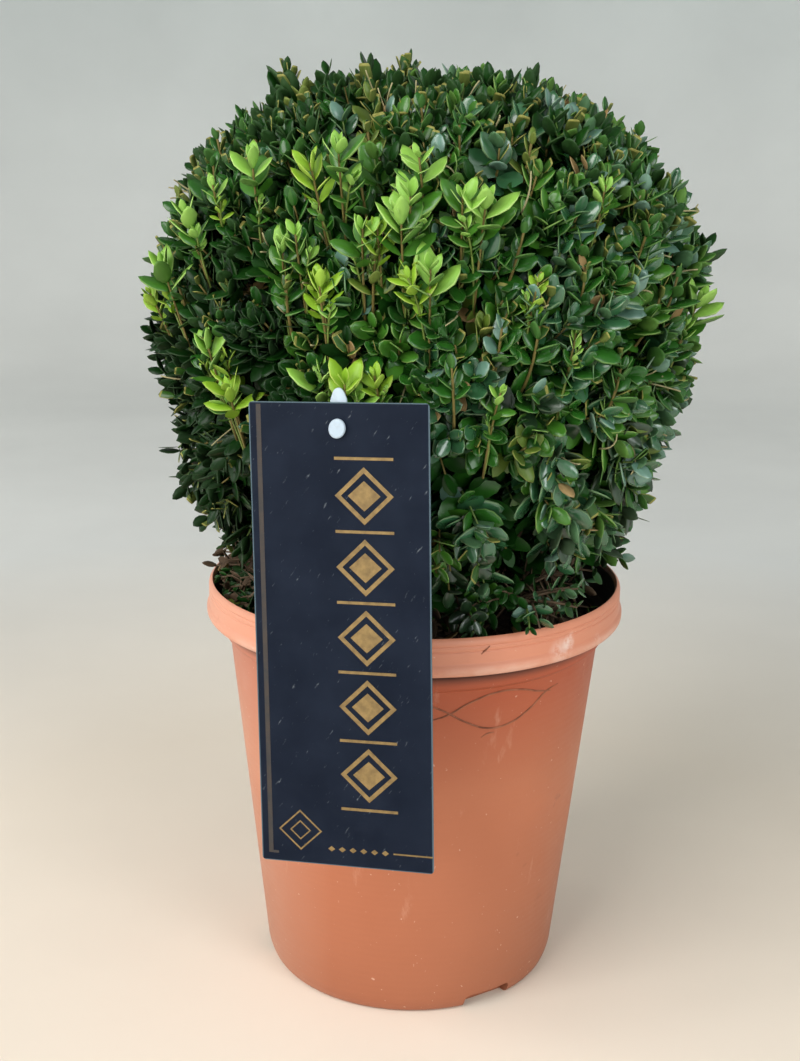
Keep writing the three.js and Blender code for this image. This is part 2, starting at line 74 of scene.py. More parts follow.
# Each is its name, its place, its width across, its power and its colour
soft_lights = [
    ("doorway", (-1.2, -1.35, 1.25), 1.7, 43, (1.0, 0.985, 0.96)),
    ("left_glow", (-1.25, 0.3, 0.5), 0.5, 1.5, (1.0, 0.99, 0.97)),
    ("right_fill", (1.1, -1.47, 0.94), 1.05, 16, (0.94, 0.98, 1.0)),
]
for name, place, size, power, colour in soft_lights:
    lamp = bpy.data.lights.new(name, "AREA")
    lamp.shape = "DISK"
    lamp.size = size
    lamp.energy = power
    lamp.color = colour
    holder = bpy.data.objects.new(name, lamp)
    turned = (light_aim - Vector(place)).to_track_quat("-Z", "Y")
    holder.matrix_world = Matrix.Translation(place) @ turned.to_matrix().to_4x4()
    scene.collection.objects.link(holder)

# Floor: one plain pale sheet that lies flat round the pot and then sweeps up on every side, warm
# under the pot and greyer further out, and painted darker higher up as painted shade.
floor_flat_radius = 1.5
floor_sweep_radius = 0.9
floor_colour = (0.88, 0.785, 0.67, 1)
backdrop_colour = (0.82, 0.82, 0.795, 1)
# Painted shade: the darker colour that the backdrop takes higher up
backdrop_shade_colour = (0.63, 0.665, 0.655, 1)


def chain(bm, points):
    """A chain of edges through (radius, height) points in the XZ plane, ready for a spin about Z."""
    corners = [bm.verts.new((x, 0, z)) for x, z in points]
    for start, end in zip(corners, corners[1:]):
        bm.edges.new((start, end))
    return corners


def bevelled(bm, parts, width, segments, affect="EDGES"):
    return bmesh.ops.bevel(
        bm, geom=parts, offset=width, offset_type="OFFSET", segments=segments, profile=0.5,
        affect=affect, material=-1,
    )


def spin_round(bm, steps):
    """Turns the chain about Z into a closed skin with its faces pointing out."""
    bmesh.ops.spin(
        bm, geom=list(bm.verts) + list(bm.edges), cent=(0, 0, 0), axis=(0, 0, 1), dvec=(0, 0, 0),
        angle=2 * math.pi, steps=steps, use_merge=True,
    )
    bmesh.ops.remove_doubles(bm, verts=bm.verts, dist=1e-6)
    bmesh.ops.recalc_face_normals(bm, faces=bm.faces)


def piece_from(shape, name, *looks):
    """A bmesh or a mesh as an object at the origin, wearing the looks."""
    mesh = shape
    if isinstance(shape, bmesh.types.BMesh):
        mesh = bpy.data.meshes.new(name)
        shape.to_mesh(mesh)
        shape.free()
    piece = bpy.data.objects.new(name, mesh)
    scene.collection.objects.link(piece)
    for look in looks:
        mesh.materials.append(look.material)
    return piece


def fill(node, sockets):
    """Sets a node's sockets to values or joins them to other nodes' outputs."""
    for socket, value in sockets.items():
        if isinstance(value, bpy.types.NodeSocket):
            node.id_data.links.new(value, node.inputs[socket])
        else:
            node.inputs[socket].default_value = value


class Look:
    """A material with short ways to make the shader nodes that colour it and raise its surface."""

    def __init__(self, name, colour, roughness, gloss=0.5, ground=None):
        """The ground is the colour that the layers go over, where it isn't the plain colour."""
        self.material = bpy.data.materials.new(name)
        self.material.use_nodes = True
        self.ground = ground or colour
        self.relief = None
        self.surface({"Base Color": colour, "Roughness": roughness, "Specular IOR Level": gloss})

    def surface(self, sockets):
        fill(self.material.node_tree.nodes["Principled BSDF"], sockets)

    def node(self, kind, output, sockets, **settings):
        """The output of a new shader node."""
        made = self.material.node_tree.nodes.new("ShaderNode" + kind)
        for setting, value in settings.items():
            setattr(made, setting, value)
        fill(made, sockets)
        return made.outputs[output]

    def place(self, scale=(1, 1, 1)):
        """Object coordinates, stretched by the scale."""
        return self.node("Mapping", 0, {"Vector": self.node("TexCoord", "Object", {}), "Scale": scale})

    def axis(self, name):
        return self.node("SeparateXYZ", name, {0: self.place()})

    def between(self, value, low, high, least=0.0, most=1.0):
        """The value as it goes from low to high, held to the range from least to most."""
        sockets = {"Value": value, "From Min": low, "From Max": high, "To Min": least, "To Max": most}
        return self.node("MapRange", "Result", sockets)

    def clouds(self, scale, detail, rough=0.5, place=None):
        sockets = {"Vector": place or self.place(), "Scale": scale, "Detail": detail, "Roughness": rough}
        return self.node("TexNoise", "Fac", sockets)

    def patches(self, scale, detail, low, high, least=0.0, most=1.0, rough=0.5, place=None):
        """Clouds as a share: least where they are under low and most where they are over high."""
        return self.between(self.clouds(scale, detail, rough, place), low, high, least, most)

    def worked(self, operation, first, *others):
        """Values joined by one operation, one after the other."""
        for other in others:
            first = self.node("Math", 0, {0: first, 1: other}, operation=operation)
        return first

    def layer(self, share, colour, blend="MIX"):
        """Lays a colour over what is there, as far as the share says."""
        sockets = {0: share, 6: self.ground, 7: colour}
        self.ground = self.node("Mix", 2, sockets, data_type="RGBA", blend_type=blend)
        self.surface({"Base Color": self.ground})

    def emboss(self, height, distance, strength):
        """Raises the surface by a height, on top of what is raised already."""
        sockets = {"Height": height, "Distance": distance, "Strength": strength}
        if self.relief:
            sockets["Normal"] = self.relief
        self.relief = self.node("Bump", "Normal", sockets)
        self.surface({"Normal": self.relief})


pale_floor = Look("pale_floor", floor_colour, 0.85, 0.2)
floor_distance = pale_floor.node("VectorMath", "Value", {0: pale_floor.place()}, operation="LENGTH")
pale_floor.layer(pale_floor.between(floor_distance, 0.28, 0.75), backdrop_colour)
# Higher up the backdrop is painted darker: painted shade where less light reaches the sweep
pale_floor.layer(pale_floor.between(pale_floor.axis("Z"), 0.05, 0.7), backdrop_shade_colour)
pale_floor.layer(1.0, pale_floor.patches(3.0, 4, 0.3, 0.7, 0.94, 1.04), "MULTIPLY")
floor_mesh = bmesh.new()
floor_far = floor_flat_radius + floor_sweep_radius
floor_corners = chain(floor_mesh, [(0, 0), (floor_far, 0), (floor_far, floor_far)])
bevelled(floor_mesh, [floor_corners[1]], floor_sweep_radius, 16, "VERTICES")
spin_round(floor_mesh, 96)
if floor_mesh.faces[0].normal.z < 0:
    bmesh.ops.reverse_faces(floor_mesh, faces=floor_mesh.faces)
floor = piece_from(floor_mesh, "floor", pale_floor)
floor.data.shade_smooth()

# Pot: a 19 cm nursery pot moulded in terracotta-coloured polypropylene, with a rolled lip, a
# stacking shoulder, a foot ring, drain holes and three notches at the foot, scuffed and limy.
pot_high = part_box("pot")[1]
pot_height = pot_high.z
pot_wall = 0.0018
lip_outer = pot_high.x
lip_inner = lip_outer - 0.0033
lip_bottom = pot_height - 0.0165
shoulder_radius = 0.087
shoulder_bottom = 0.161
wall_top = 0.0847
wall_bottom = 0.0683
foot_corner = 0.006
foot_outer = wall_bottom - foot_corner * 0.45
foot_inner = foot_outer - 0.008
foot_pad = 0.020
underside_recess = 0.003
pot_floor = underside_recess + pot_wall
bead_height = 0.0042
lip_wall = lip_outer - 0.0011
groove_heights = (0.0036, 0.0058)
groove_depth = 0.0004
drain_holes = 6
drain_radius = 0.0045
drain_circle = 0.038
notches = 3
notch_width = 0.024
notch_height = 0.007
first_notch_turn = math.radians(-58)
pot_steps = 176


def worked_out(thing):
    """A new mesh of the shape that a curve or an object with modifiers comes to."""
    return bpy.data.meshes.new_from_object(thing.evaluated_get(bpy.context.evaluated_depsgraph_get()))


def scaled(x, y, z):
    return Matrix.Diagonal((x, y, z, 1))


def from_front(degrees, reach, height):
    """The place at a turn from the front to the right, a reach from the middle and a height."""
    turn = math.radians(degrees)
    return math.sin(turn) * reach, -math.cos(turn) * reach, height


lip_grooves = []
for drop in reversed(groove_heights):
    for step, depth in ((-0.0005, 0), (0, groove_depth), (0.0005, 0)):
        lip_grooves.append((lip_wall - depth, pot_height - drop + step, 0.0001))
# From the middle of the underside out, up the wall and down the inside, as (radius, height, rounding)
pot_outline = [
    (0, 0, 0),
    (foot_pad, 0, 0.0006),
    (foot_pad + 0.002, underside_recess, 0.0008),
    (foot_inner - 0.002, underside_recess, 0.0008),
    (foot_inner, 0, 0.0006),
    (foot_outer, 0, 0.0024),
    (wall_bottom, foot_corner, 0.003),
    (wall_top, shoulder_bottom, 0.0008),
    (shoulder_radius, shoulder_bottom + 0.0015, 0.0008),
    (shoulder_radius, lip_bottom, 0.001),
    (lip_wall, lip_bottom, 0.0009),
    (lip_outer, lip_bottom + bead_height * 0.4, 0.0006),
    (lip_outer, lip_bottom + bead_height, 0.0005),
    (lip_wall, lip_bottom + bead_height + 0.0014, 0.0004),
    *lip_grooves,
    (lip_wall, pot_height - 0.0008, 0.0016),
    (lip_inner + 0.0004, pot_height, 0.0012),
    (shoulder_radius + pot_wall, lip_bottom + pot_wall, 0.0008),
    (shoulder_radius - pot_wall, lip_bottom, 0.0008),
    (shoulder_radius - pot_wall, shoulder_bottom, 0.0008),
    (wall_top - pot_wall, shoulder_bottom - 0.0015, 0.0008),
    (wall_bottom - pot_wall - 0.003, pot_floor, 0.002),
    (0, pot_floor, 0),
]
pot_mesh = bmesh.new()
pot_corners = chain(pot_mesh, [(radius, height) for radius, height, _ in pot_outline])
for pot_corner, (_, _, rounding) in zip(pot_corners, pot_outline):
    if rounding:
        bevelled(pot_mesh, [pot_corner], rounding, 3, "VERTICES")
wall_edges = [edge for edge in pot_mesh.edges if edge.calc_length() > 0.1]
bmesh.ops.subdivide_edges(pot_mesh, edges=wall_edges, cuts=12)
spin_round(pot_mesh, pot_steps)

terracotta = Look("terracotta_plastic", (0.5, 0.17, 0.08, 1), 0.46, 0.42, (0.44, 0.137, 0.064, 1))
pot_rise = terracotta.axis("Z")
terracotta.layer(terracotta.patches(11.0, 3, 0.32, 0.7), (0.51, 0.172, 0.086, 1))
# Under the lip the wall is painted deeper in colour and darker: partly its own colour, partly painted shade
# from the lip
under_lip_shade = terracotta.between(pot_rise, shoulder_bottom * 0.7, shoulder_bottom, 0, 0.85)
terracotta.layer(under_lip_shade, (0.37, 0.065, 0.022, 1))
# The lip is painted a little paler than the wall
paler_lip = terracotta.between(pot_rise, lip_bottom - 0.0015, lip_bottom + 0.001)
terracotta.layer(paler_lip, (0.64, 0.245, 0.145, 1))
# The wall is painted darker towards its foot
terracotta.layer(terracotta.between(pot_rise, shoulder_bottom * 0.6, 0, 0, 0.8), (0.30, 0.10, 0.048, 1))
# The left side is painted paler: a painted highlight standing for the light from the left
terracotta.layer(terracotta.between(terracotta.axis("X"), -0.035, -0.092, 0, 0.4), (0.72, 0.42, 0.31, 1))
# Pale scuffs run round and down the wall
scuffs = terracotta.patches(90.0, 8, 0.63, 0.75, 0, 0.4, 0.68, terracotta.place((1, 1, 0.28)))
terracotta.layer(scuffs, (0.66, 0.36, 0.25, 1))
# Potting dust lies as fine pale specks and darker splashes
terracotta.layer(terracotta.patches(420.0, 2, 0.71, 0.76, 0, 0.55, 0.6), (0.72, 0.5, 0.39, 1))
terracotta.layer(terracotta.patches(60.0, 5, 0.68, 0.74, 0, 0.35, 0.6), (0.26, 0.085, 0.045, 1))
# Lime has dried here and there, as (turn from the front to the right, height, size, strength)
lime_places = [
    (43, 0.1775, 0.005, 0.9), (44, 0.181, 0.0035, 0.7), (40, 0.1745, 0.008, 0.4),
    (56, 0.1735, 0.0045, 0.7), (-140, 0.176, 0.008, 0.6), (150, 0.180, 0.011, 0.7),
]
flakes = terracotta.patches(260.0, 6, 0.36, 0.52, rough=0.65)
for degrees, height, size, strength in lime_places:
    sockets = {0: terracotta.place(), 1: from_front(degrees, lip_outer - 0.004, height)}
    distance = terracotta.node("VectorMath", "Value", sockets, operation="DISTANCE")
    near = terracotta.between(distance, size, size * 0.25, 0, strength)
    terracotta.layer(terracotta.worked("MULTIPLY", near, flakes), (0.88, 0.82, 0.76, 1))
# A chalky bloom and a painted highlight run along the lip's lower bead
bead_bloom_and_highlight = terracotta.worked(
    "MULTIPLY", terracotta.patches(26.0, 5, 0.42, 0.62, 0, 0.4, 0.6, terracotta.place((1, 1, 2))),
    terracotta.between(pot_rise, lip_bottom + bead_height + 0.001, lip_bottom + bead_height * 0.6),
    terracotta.between(pot_rise, lip_bottom - 0.0005, lip_bottom + 0.0005),
)
terracotta.layer(bead_bloom_and_highlight, (0.78, 0.56, 0.46, 1))
# Inside, wet compost has stained it, and painted shade darkens it nearly black up to the lip
pot_flat = terracotta.node("VectorMath", "Value", {0: terracotta.place((1, 1, 0))}, operation="LENGTH")
soil_stain_and_shade = terracotta.worked(
    "MULTIPLY", terracotta.between(pot_flat, lip_inner + 0.0003, lip_inner - 0.0003),
    terracotta.between(pot_rise, pot_height - 0.0016, pot_height - 0.003),
    terracotta.between(pot_rise, shoulder_bottom + 0.003, lip_bottom - 0.002),
)
terracotta.layer(soil_stain_and_shade, (0.025, 0.016, 0.012, 1))
pot_rough = terracotta.patches(45.0, 5, 0.3, 0.7, 0.4, 0.55)
terracotta.surface({"Roughness": terracotta.worked("MAXIMUM", pot_rough, soil_stain_and_shade)})
# The mould leaves fine rings round the wall, and the plastic has a faint orange peel
rings = terracotta.node(
    "TexWave", "Fac", {"Vector": terracotta.place(), "Scale": 95.0, "Distortion": 0.4, "Detail": 1.0},
    wave_type="BANDS", bands_direction="Z",
)
terracotta.emboss(rings, 0.00006, 0.6)
terracotta.emboss(terracotta.clouds(900.0, 2), 0.00005, 0.5)
terracotta.emboss(scuffs, 0.0001, 0.5)

pot_cutters = bmesh.new()
for number in range(drain_holes):
    turn = number / drain_holes * 2 * math.pi
    hole_place = Matrix.Translation((math.cos(turn) * drain_circle, math.sin(turn) * drain_circle, 0))
    bmesh.ops.create_cone(
        pot_cutters, cap_ends=True, segments=24, radius1=drain_radius, radius2=drain_radius,
        depth=pot_floor * 4, matrix=hole_place,
    )
for number in range(notches):
    notch_turn = Matrix.Rotation(first_notch_turn + number / notches * 2 * math.pi, 4, "Z")
    notch_block = bmesh.ops.create_cube(pot_cutters, size=1)["verts"]
    notch_edges = {edge for vert in notch_block for edge in vert.link_edges}
    notch_size = scaled(foot_corner * 2.4, notch_width, notch_height * 2)
    bmesh.ops.transform(pot_cutters, matrix=notch_size, verts=notch_block)
    long_edges = [edge for edge in notch_edges if abs(edge.verts[0].co.x - edge.verts[1].co.x) > 0.001]
    rounded = bevelled(pot_cutters, long_edges, 0.0025, 4)
    notch_verts = list({vert for face in rounded["faces"] for vert in face.verts})
    seat = notch_turn @ Matrix.Translation((wall_bottom - 0.001, 0, 0))
    bmesh.ops.transform(pot_cutters, matrix=seat, verts=notch_verts)
pot = piece_from(pot_mesh, "flower_pot", terracotta)
cutter = piece_from(pot_cutters, "cutter")
cut = pot.modifiers.new("cut", "BOOLEAN")
cut.operation = "DIFFERENCE"
cut.solver = "EXACT"
cut.object = cutter
bpy.context.view_layer.update()
cut_mesh = worked_out(pot)
pot.modifiers.clear()
pot.data = cut_mesh
bpy.data.objects.remove(cutter)
pot.data.shade_smooth()
pot.data.set_sharp_from_angle(angle=math.radians(50))
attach(pot, "root")
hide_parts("pot")

# Dried root: a brown thread of old root that has dried on to the wall below the lip and left its
# looping line there, about a millimetre wide, with a short bit on the lip.
thread_radius = 0.00042
# Each run is (turn from the front to the right, height) along it
thread_runs = [
    [(3, 0.1555), (8, 0.1525), (15, 0.1465), (22, 0.1425), (29, 0.1432), (36, 0.1480), (42, 0.1540),
     (47, 0.1555)],
    [(3, 0.1475), (9, 0.1500), (16, 0.1555), (24, 0.1588), (32, 0.1580), (39, 0.1550), (44, 0.1535)],
    [(20, 0.1385), (22, 0.1400), (24, 0.1402)],
    [(16.4, 0.1800), (17.4, 0.1815), (18.6, 0.1832)],
]


def tube_mesh(points, radii, sides=8, smoothness=8):
    """A closed tube through the points, tapering from radius to radius, as a bmesh."""
    curve = bpy.data.curves.new("tube", "CURVE")
    curve.dimensions = "3D"
    curve.resolution_u = smoothness
    curve.bevel_depth = 1
    curve.bevel_resolution = sides // 2 - 2
    curve.use_fill_caps = True
    spline = curve.splines.new("BEZIER")
    spline.bezier_points.add(len(points) - 1)
    for knot, point, radius in zip(spline.bezier_points, points, radii):
        knot.co = point
        knot.radius = radius
        knot.handle_left_type = knot.handle_right_type = "AUTO"
    holder = bpy.data.objects.new("tube", curve)
    scene.collection.objects.link(holder)
    mesh = worked_out(holder)
    bpy.data.objects.remove(holder)
    tube = bmesh.new()
    tube.from_mesh(mesh)
    bmesh.ops.remove_doubles(tube, verts=tube.verts, dist=1e-6)
    bmesh.ops.recalc_face_normals(tube, faces=tube.faces)
    return tube


def joined(parts):
    """Several bmeshes as one."""
    whole = bmesh.new()
    for part in parts:
        mesh = bpy.data.meshes.new("part")
        part.to_mesh(mesh)
        part.free()
        whole.from_mesh(mesh)
        bpy.data.meshes.remove(mesh)
    return whole


threads = []
for run in thread_runs:
    route = []
    for degrees, height in run:
        slope_share = (height - foot_corner) / (shoulder_bottom - foot_corner)
        wall_radius = wall_bottom + (wall_top - wall_bottom) * slope_share
        route.append(from_front(degrees, wall_radius if height < lip_bottom else lip_wall, height))
    widths = [thread_radius * 0.45, *[thread_radius] * (len(run) - 2), thread_radius * 0.45]
    threads.append(tube_mesh(route, widths, 6, 6))
root_stain = Look("dried_root", (0.2, 0.07, 0.04, 1), 0.8, 0.2, (0.17, 0.06, 0.035, 1))
root_stain.layer(root_stain.patches(160.0, 4, 0.35, 0.65), (0.36, 0.14, 0.08, 1))
dried_root = piece_from(joined(threads), "dried_root_thread", root_stain)
dried_root.data.shade_smooth()
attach(dried_root, "root")

# Soil: dark peaty compost filled to the foot of the lip, slightly domed to the stem, crumbly and
# littered with clods, fibres and fallen leaves.
gap = 0.0003
soil_top = 0.170
soil_edge = 0.167
stem_foot_radius = 0.012
dome_radius = stem_foot_radius * 3.5
dome_height = soil_top - 0.0006
soil_slack = pot_wall + gap + 0.0001
soil_wall = shoulder_radius - soil_slack
soil_outline = [
    (0, pot_floor + gap),
    (wall_bottom - soil_slack - 0.003, pot_floor + gap),
    (wall_top - soil_slack, shoulder_bottom - 0.0017),
    (soil_wall, shoulder_bottom + 0.0003),
    (soil_wall, soil_edge),
    (dome_radius, dome_height),
    (stem_foot_radius * 1.6, soil_top),
    (0, soil_top),
]


def soil_height(x, y):
    """The rough top of the compost above a place inside the pot, less its grain."""
    radius = math.hypot(x, y)
    slope = (dome_height - soil_edge) / (soil_wall - dome_radius)
    level = dome_height - max(0, radius - dome_radius) * slope
    lumps = noise.fractal(Vector((x, y, 0)) * 90, 1.0, 2.0, 4)
    fade = min(1, max(0, (soil_wall - radius) / 0.004))
    return level + (lumps * 0.0011 - 0.0004) * fade


soil_mesh = bmesh.new()
chain(soil_mesh, soil_outline)
top_edges = [edge for edge in soil_mesh.edges if min(vert.co.z for vert in edge.verts) >= soil_edge - 1e-6]
bmesh.ops.subdivide_edges(soil_mesh, edges=top_edges, cuts=14)
spin_round(soil_mesh, 144)
for vert in soil_mesh.verts:
    if vert.co.z > soil_edge - 1e-5 and vert.co.xy.length < soil_wall - 1e-4:
        vert.co.z = soil_height(vert.co.x, vert.co.y)
compost = Look("peaty_compost", (0.03, 0.02, 0.013, 1), 0.95, 0.15, (0.012, 0.008, 0.006, 1))
compost_grain = compost.patches(260.0, 6, 0.35, 0.68, rough=0.65)
fibres = compost.patches(700.0, 3, 0.62, 0.72, 0, 0.5, place=compost.place((1, 0.2, 1)))
compost.layer(compost_grain, (0.065, 0.042, 0.026, 1))
compost.layer(fibres, (0.16, 0.11, 0.065, 1))
compost.emboss(compost_grain, 0.0008, 0.9)
soil = piece_from(soil_mesh, "compost", compost)
soil.data.shade_smooth()
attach(soil, "root")
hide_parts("soil")


def joined_piece(name, blocks, *looks):
    """One piece of many small forms. A block is (copies x points x 3 array, faces, each face's surface)."""
    points, corners, totals, surfaces, first = [], [], [], [], 0
    for copies, faces, worn in blocks:
        count, size = copies.shape[:2]
        template = np.concatenate([np.array(face) for face in faces])
        corners.append((template + np.arange(count)[:, None] * size + first).ravel())
        totals.append(np.tile([len(face) for face in faces], count))
        surfaces.append(np.tile(worn, count))
        points.append(copies.reshape(-1, 3))
        first += count * size
    points, corners, totals, surfaces = map(np.concatenate, (points, corners, totals, surfaces))
    mesh = bpy.data.meshes.new(name)
    mesh.vertices.add(len(points))
    mesh.vertices.foreach_set("co", points.astype(np.float32).ravel())
    mesh.loops.add(len(corners))
    mesh.loops.foreach_set("vertex_index", corners.astype(np.int32))
    mesh.polygons.add(len(totals))
    mesh.polygons.foreach_set("loop_start", (np.cumsum(totals) - totals).astype(np.int32))
    mesh.polygons.foreach_set("material_index", surfaces.astype(np.int32))
    mesh.update(calc_edges=True)
    mesh.validate()
    mesh.shade_smooth()
    return piece_from(mesh, name, *looks)


def chance(shoot, use):
    """A number from 0 to 1 that always comes out the same for the same shoot and use."""
    wave = np.sin(np.asarray(shoot) * 127.1 + use * 311.7) * 43758.5453
    return wave - np.floor(wave)


def mix(low, high, share):
    return low + (high - low) * share


def unit(vectors):
    return vectors / np.linalg.norm(vectors, axis=-1, keepdims=True)


def around(turn, reach=1.0):
    """Level places at turns from the right and a reach from the middle."""
    return np.stack([np.cos(turn) * reach, np.sin(turn) * reach, turn * 0.0], -1)


def strewn(number, use, least, reach, above):
    """Places strewn over the compost and so much above it, with the least share of it left bare."""
    distance = np.sqrt(mix(least, 1, chance(number, use))) * reach
    place = around(chance(number, use + 1) * 2 * math.pi, distance)
    place[:, 2] = [soil_height(x, y) + above for x, y in place[:, :2]]
    return place


# Clods: crumbs of compost and bark on the soil
clod_shape = bmesh.new()
bmesh.ops.create_icosphere(clod_shape, subdivisions=1, radius=1)
clod_points = np.array([vert.co for vert in clod_shape.verts])
clod_faces = [[vert.index for vert in face.verts] for face in clod_shape.faces]
clod_shape.free()
clod_count = 1100
clod = np.arange(clod_count)
clod_place = strewn(clod, 41, 0.03, soil_wall - 0.003, 0.0002)
clod_size = mix(0.0006, 0.0023, chance(clod, 43) ** 3)[:, None]
clod_stretch = np.stack([mix(0.7, 1.5, chance(clod, 44 + axis)) for axis in range(3)], 1)
clod_lumps = mix(0.75, 1.25, chance(clod[:, None] * 12 + np.arange(12), 47))[..., None]
clod_copies = clod_points * clod_lumps * (clod_stretch * clod_size)[:, None] + clod_place[:, None]
clods = joined_piece("compost_clods", [(clod_copies, clod_faces, [0] * len(clod_faces))], compost)
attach(clods, "root")

# Limbs: the short main stem and its boughs, old box wood with pale, finely cracked corky bark. The
# stem flares at the soil, four boughs and the leader rise into the ball, and five spread over the pot.
stem_radius = 0.0075
stem_top_radius = 0.006
stem_flare_height = 0.009
stem_lean = 0.004
stem_foot = soil_top - 0.002
ball_bottom = 0.206
ball_boughs = 4
ball_bough_start = 0.190
ball_bough_reach = 0.040
ball_bough_end = ball_bottom + 0.004
skirt_sprays = 5
skirt_bough_start = 0.178
skirt_bough_reach = 0.046
skirt_bough_end = 0.189
bough_radius = 0.0032
bough_tip_radius = 0.0022
bough_radii = [bough_radius, bough_radius, mix(bough_radius, bough_tip_radius, 0.7), bough_tip_radius]
limb_height = 0.325
limb_spread = 0.055
limbs = []


def add_limb(seed, knots, radii, sides=12, smoothness=8):
    """Grows a limb with its corky relief: long plates with cracks between them."""
    tube = tube_mesh(knots, radii, sides, smoothness)
    bmesh.ops.subdivide_edges(tube, edges=tube.edges, cuts=1, use_grid_fill=True)
    tube.normal_update()
    for vert in tube.verts:
        grain = Vector((vert.co.x * 700, vert.co.y * 700, vert.co.z * 160 + seed * 7))
        plates = noise.ridged_multi_fractal(grain, 1.0, 2.0, 3, 1.0, 2.0)
        vert.co += vert.normal * (plates - 1.0) * 0.00028
    limbs.append(tube)


def bough_knots(turn, start, reach, end):
    """A bough's course: it leaves the side of the stem, runs out and then lifts."""
    course = [(0.002, start - 0.003), (reach * 0.35, mix(start, end, 0.22)),
              (reach * 0.72, mix(start, end, 0.6)), (reach, end)]
    return [Vector((math.cos(turn) * radius, math.sin(turn) * radius, height)) for radius, height in course]


def skirt_turn(number):
    return (number + 0.5) / skirt_sprays * 2 * math.pi - math.pi / 2


stem_knots, stem_radii = [], []
for along in (0, 0.06, 0.14, 0.26, 0.5, 0.75, 1):
    height = mix(stem_foot, ball_bottom, along)
    flare = max(0, 1 - (height - stem_foot) / stem_flare_height) ** 2
    stem_knots.append(Vector((stem_lean * along ** 2, -stem_lean * 0.5 * along, height)))
    stem_radii.append(mix(stem_radius, stem_top_radius, along) + (stem_foot_radius - stem_radius) * flare)
leader = [(0.006, -0.003, 0.240), (0.001, 0.004, 0.285), (0.006, 0.001, 0.340)]
stem_knots += [Vector(knot) for knot in leader]
add_limb(0, stem_knots, stem_radii + [0.0046, 0.0034, 0.0016], 16, 10)
limb_courses = [np.array(stem_knots[6:])]
for number in range(ball_boughs):
    turn = number / ball_boughs * 2 * math.pi + 0.35
    reach = ball_bough_reach * mix(0.85, 1.1, chance(number, 31))
    knots = bough_knots(turn, ball_bough_start + 0.005 * chance(number, 32), reach, ball_bough_end)
    for rise in (0.35, 0.7, 1):
        swing = turn + 0.5 * (chance(number, 33 + rise) - 0.5)
        spread = mix(reach, limb_spread, rise ** 0.7)
        height = mix(ball_bough_end, limb_height, rise)
        knots.append(Vector((math.cos(swing) * spread, math.sin(swing) * spread, height)))
    add_limb(number + 1, knots, bough_radii + [0.0021, 0.0017, 0.0011])
    limb_courses.append(np.array(knots[3:]))
for number in range(skirt_sprays):
    knots = bough_knots(skirt_turn(number), skirt_bough_start, skirt_bough_reach, skirt_bough_end)
    add_limb(number + 6, knots, bough_radii)
limb_names = ["main_stem"]
limb_names += [f"ball_bough_{number + 1}" for number in range(ball_boughs)]
limb_names += [f"skirt_bough_{number + 1}" for number in range(skirt_sprays)]

bark = Look("corky_bark", (0.3, 0.22, 0.14, 1), 0.88, 0.2, (0.11, 0.075, 0.045, 1))
bark_plates = bark.patches(420.0, 6, 0.36, 0.66, rough=0.6, place=bark.place((1, 1, 0.25)))
bark.layer(bark_plates, (0.42, 0.33, 0.22, 1))
bark.layer(bark.patches(60.0, 4, 0.55, 0.7, 0, 0.35), (0.2, 0.19, 0.09, 1))
bark.emboss(bark_plates, 0.0005, 0.8)
wood = piece_from(joined(limbs), "stem_and_boughs", bark)
wood.data.shade_smooth()
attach(wood, "root")
for limb_name in limb_names:
    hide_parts(limb_name)

# Branchlets: 95 shoots carry the ball, spread by the golden angle over a clipped egg that is blunt
# at the top. Each grows from a bough inside, and its twigs spread just under the clipped surface.
crown_middle = np.array([0.003, 0, 0.311])
crown_radius = 0.123
crown_above = 0.101
crown_below = 0.170
bluntness_above = 2.5
bluntness_below = 2.0
core_depth = 0.030
core_squat = 0.88
shoots = 95
lowest_shoot = -0.72
shoot_unevenness = 0.06
shoot_root_depth = 0.008
source_leaf = 0.029
golden_angle = math.pi * (3 - math.sqrt(5))
up = np.array([0, 0, 1.0])


def crown_part(above):
    """The half height and the bluntness of the crown above or below its middle."""
    return np.where(above, crown_above, crown_below), np.where(above, bluntness_above, bluntness_below)


def crown_point(direction, depth):
    """The place at that depth under the crown's surface, seen from its middle along a direction."""
    flat = np.hypot(direction[:, 0], direction[:, 1])
    half, bluntness = crown_part(direction[:, 2] > 0)
    total = (flat / crown_radius) ** bluntness + (np.abs(direction[:, 2]) / half) ** bluntness
    return crown_middle + direction * (total ** (-1 / bluntness) - depth)[:, None]


def spread_over(count, lowest, highest, jitter):
    """Directions spread evenly over the ball between two levels by the golden angle."""
    number = np.arange(count)
    level = mix(lowest, highest, (number + 0.5) / count)
    turn = number * golden_angle + (chance(number, 1) - 0.5) * jitter
    return around(turn, np.sqrt(1 - level ** 2)) + up * level[:, None]


def spin_of(seed, use):
    """A small random vector for each seed, from -0.5 to 0.5 along each axis."""
    return np.stack([chance(seed, use), chance(seed, use + 1), chance(seed, use + 2)], 1) - 0.5


def nearest(places, others):
    """For each place, the number of the nearest of the others."""
    return np.linalg.norm(places[:, None] - others[None], axis=2).argmin(1)


def bent(start, control, end, share):
    """The places at a share of the curves from start to end that lean towards the control."""
    return start * (1 - share) ** 2 + control * 2 * share * (1 - share) + end * share ** 2


def curves(start, control, end, steps):
    """The same curves as tubes x steps x 3."""
    return bent(start[:, None], control[:, None], end[:, None], np.linspace(0, 1, steps)[None, :, None])


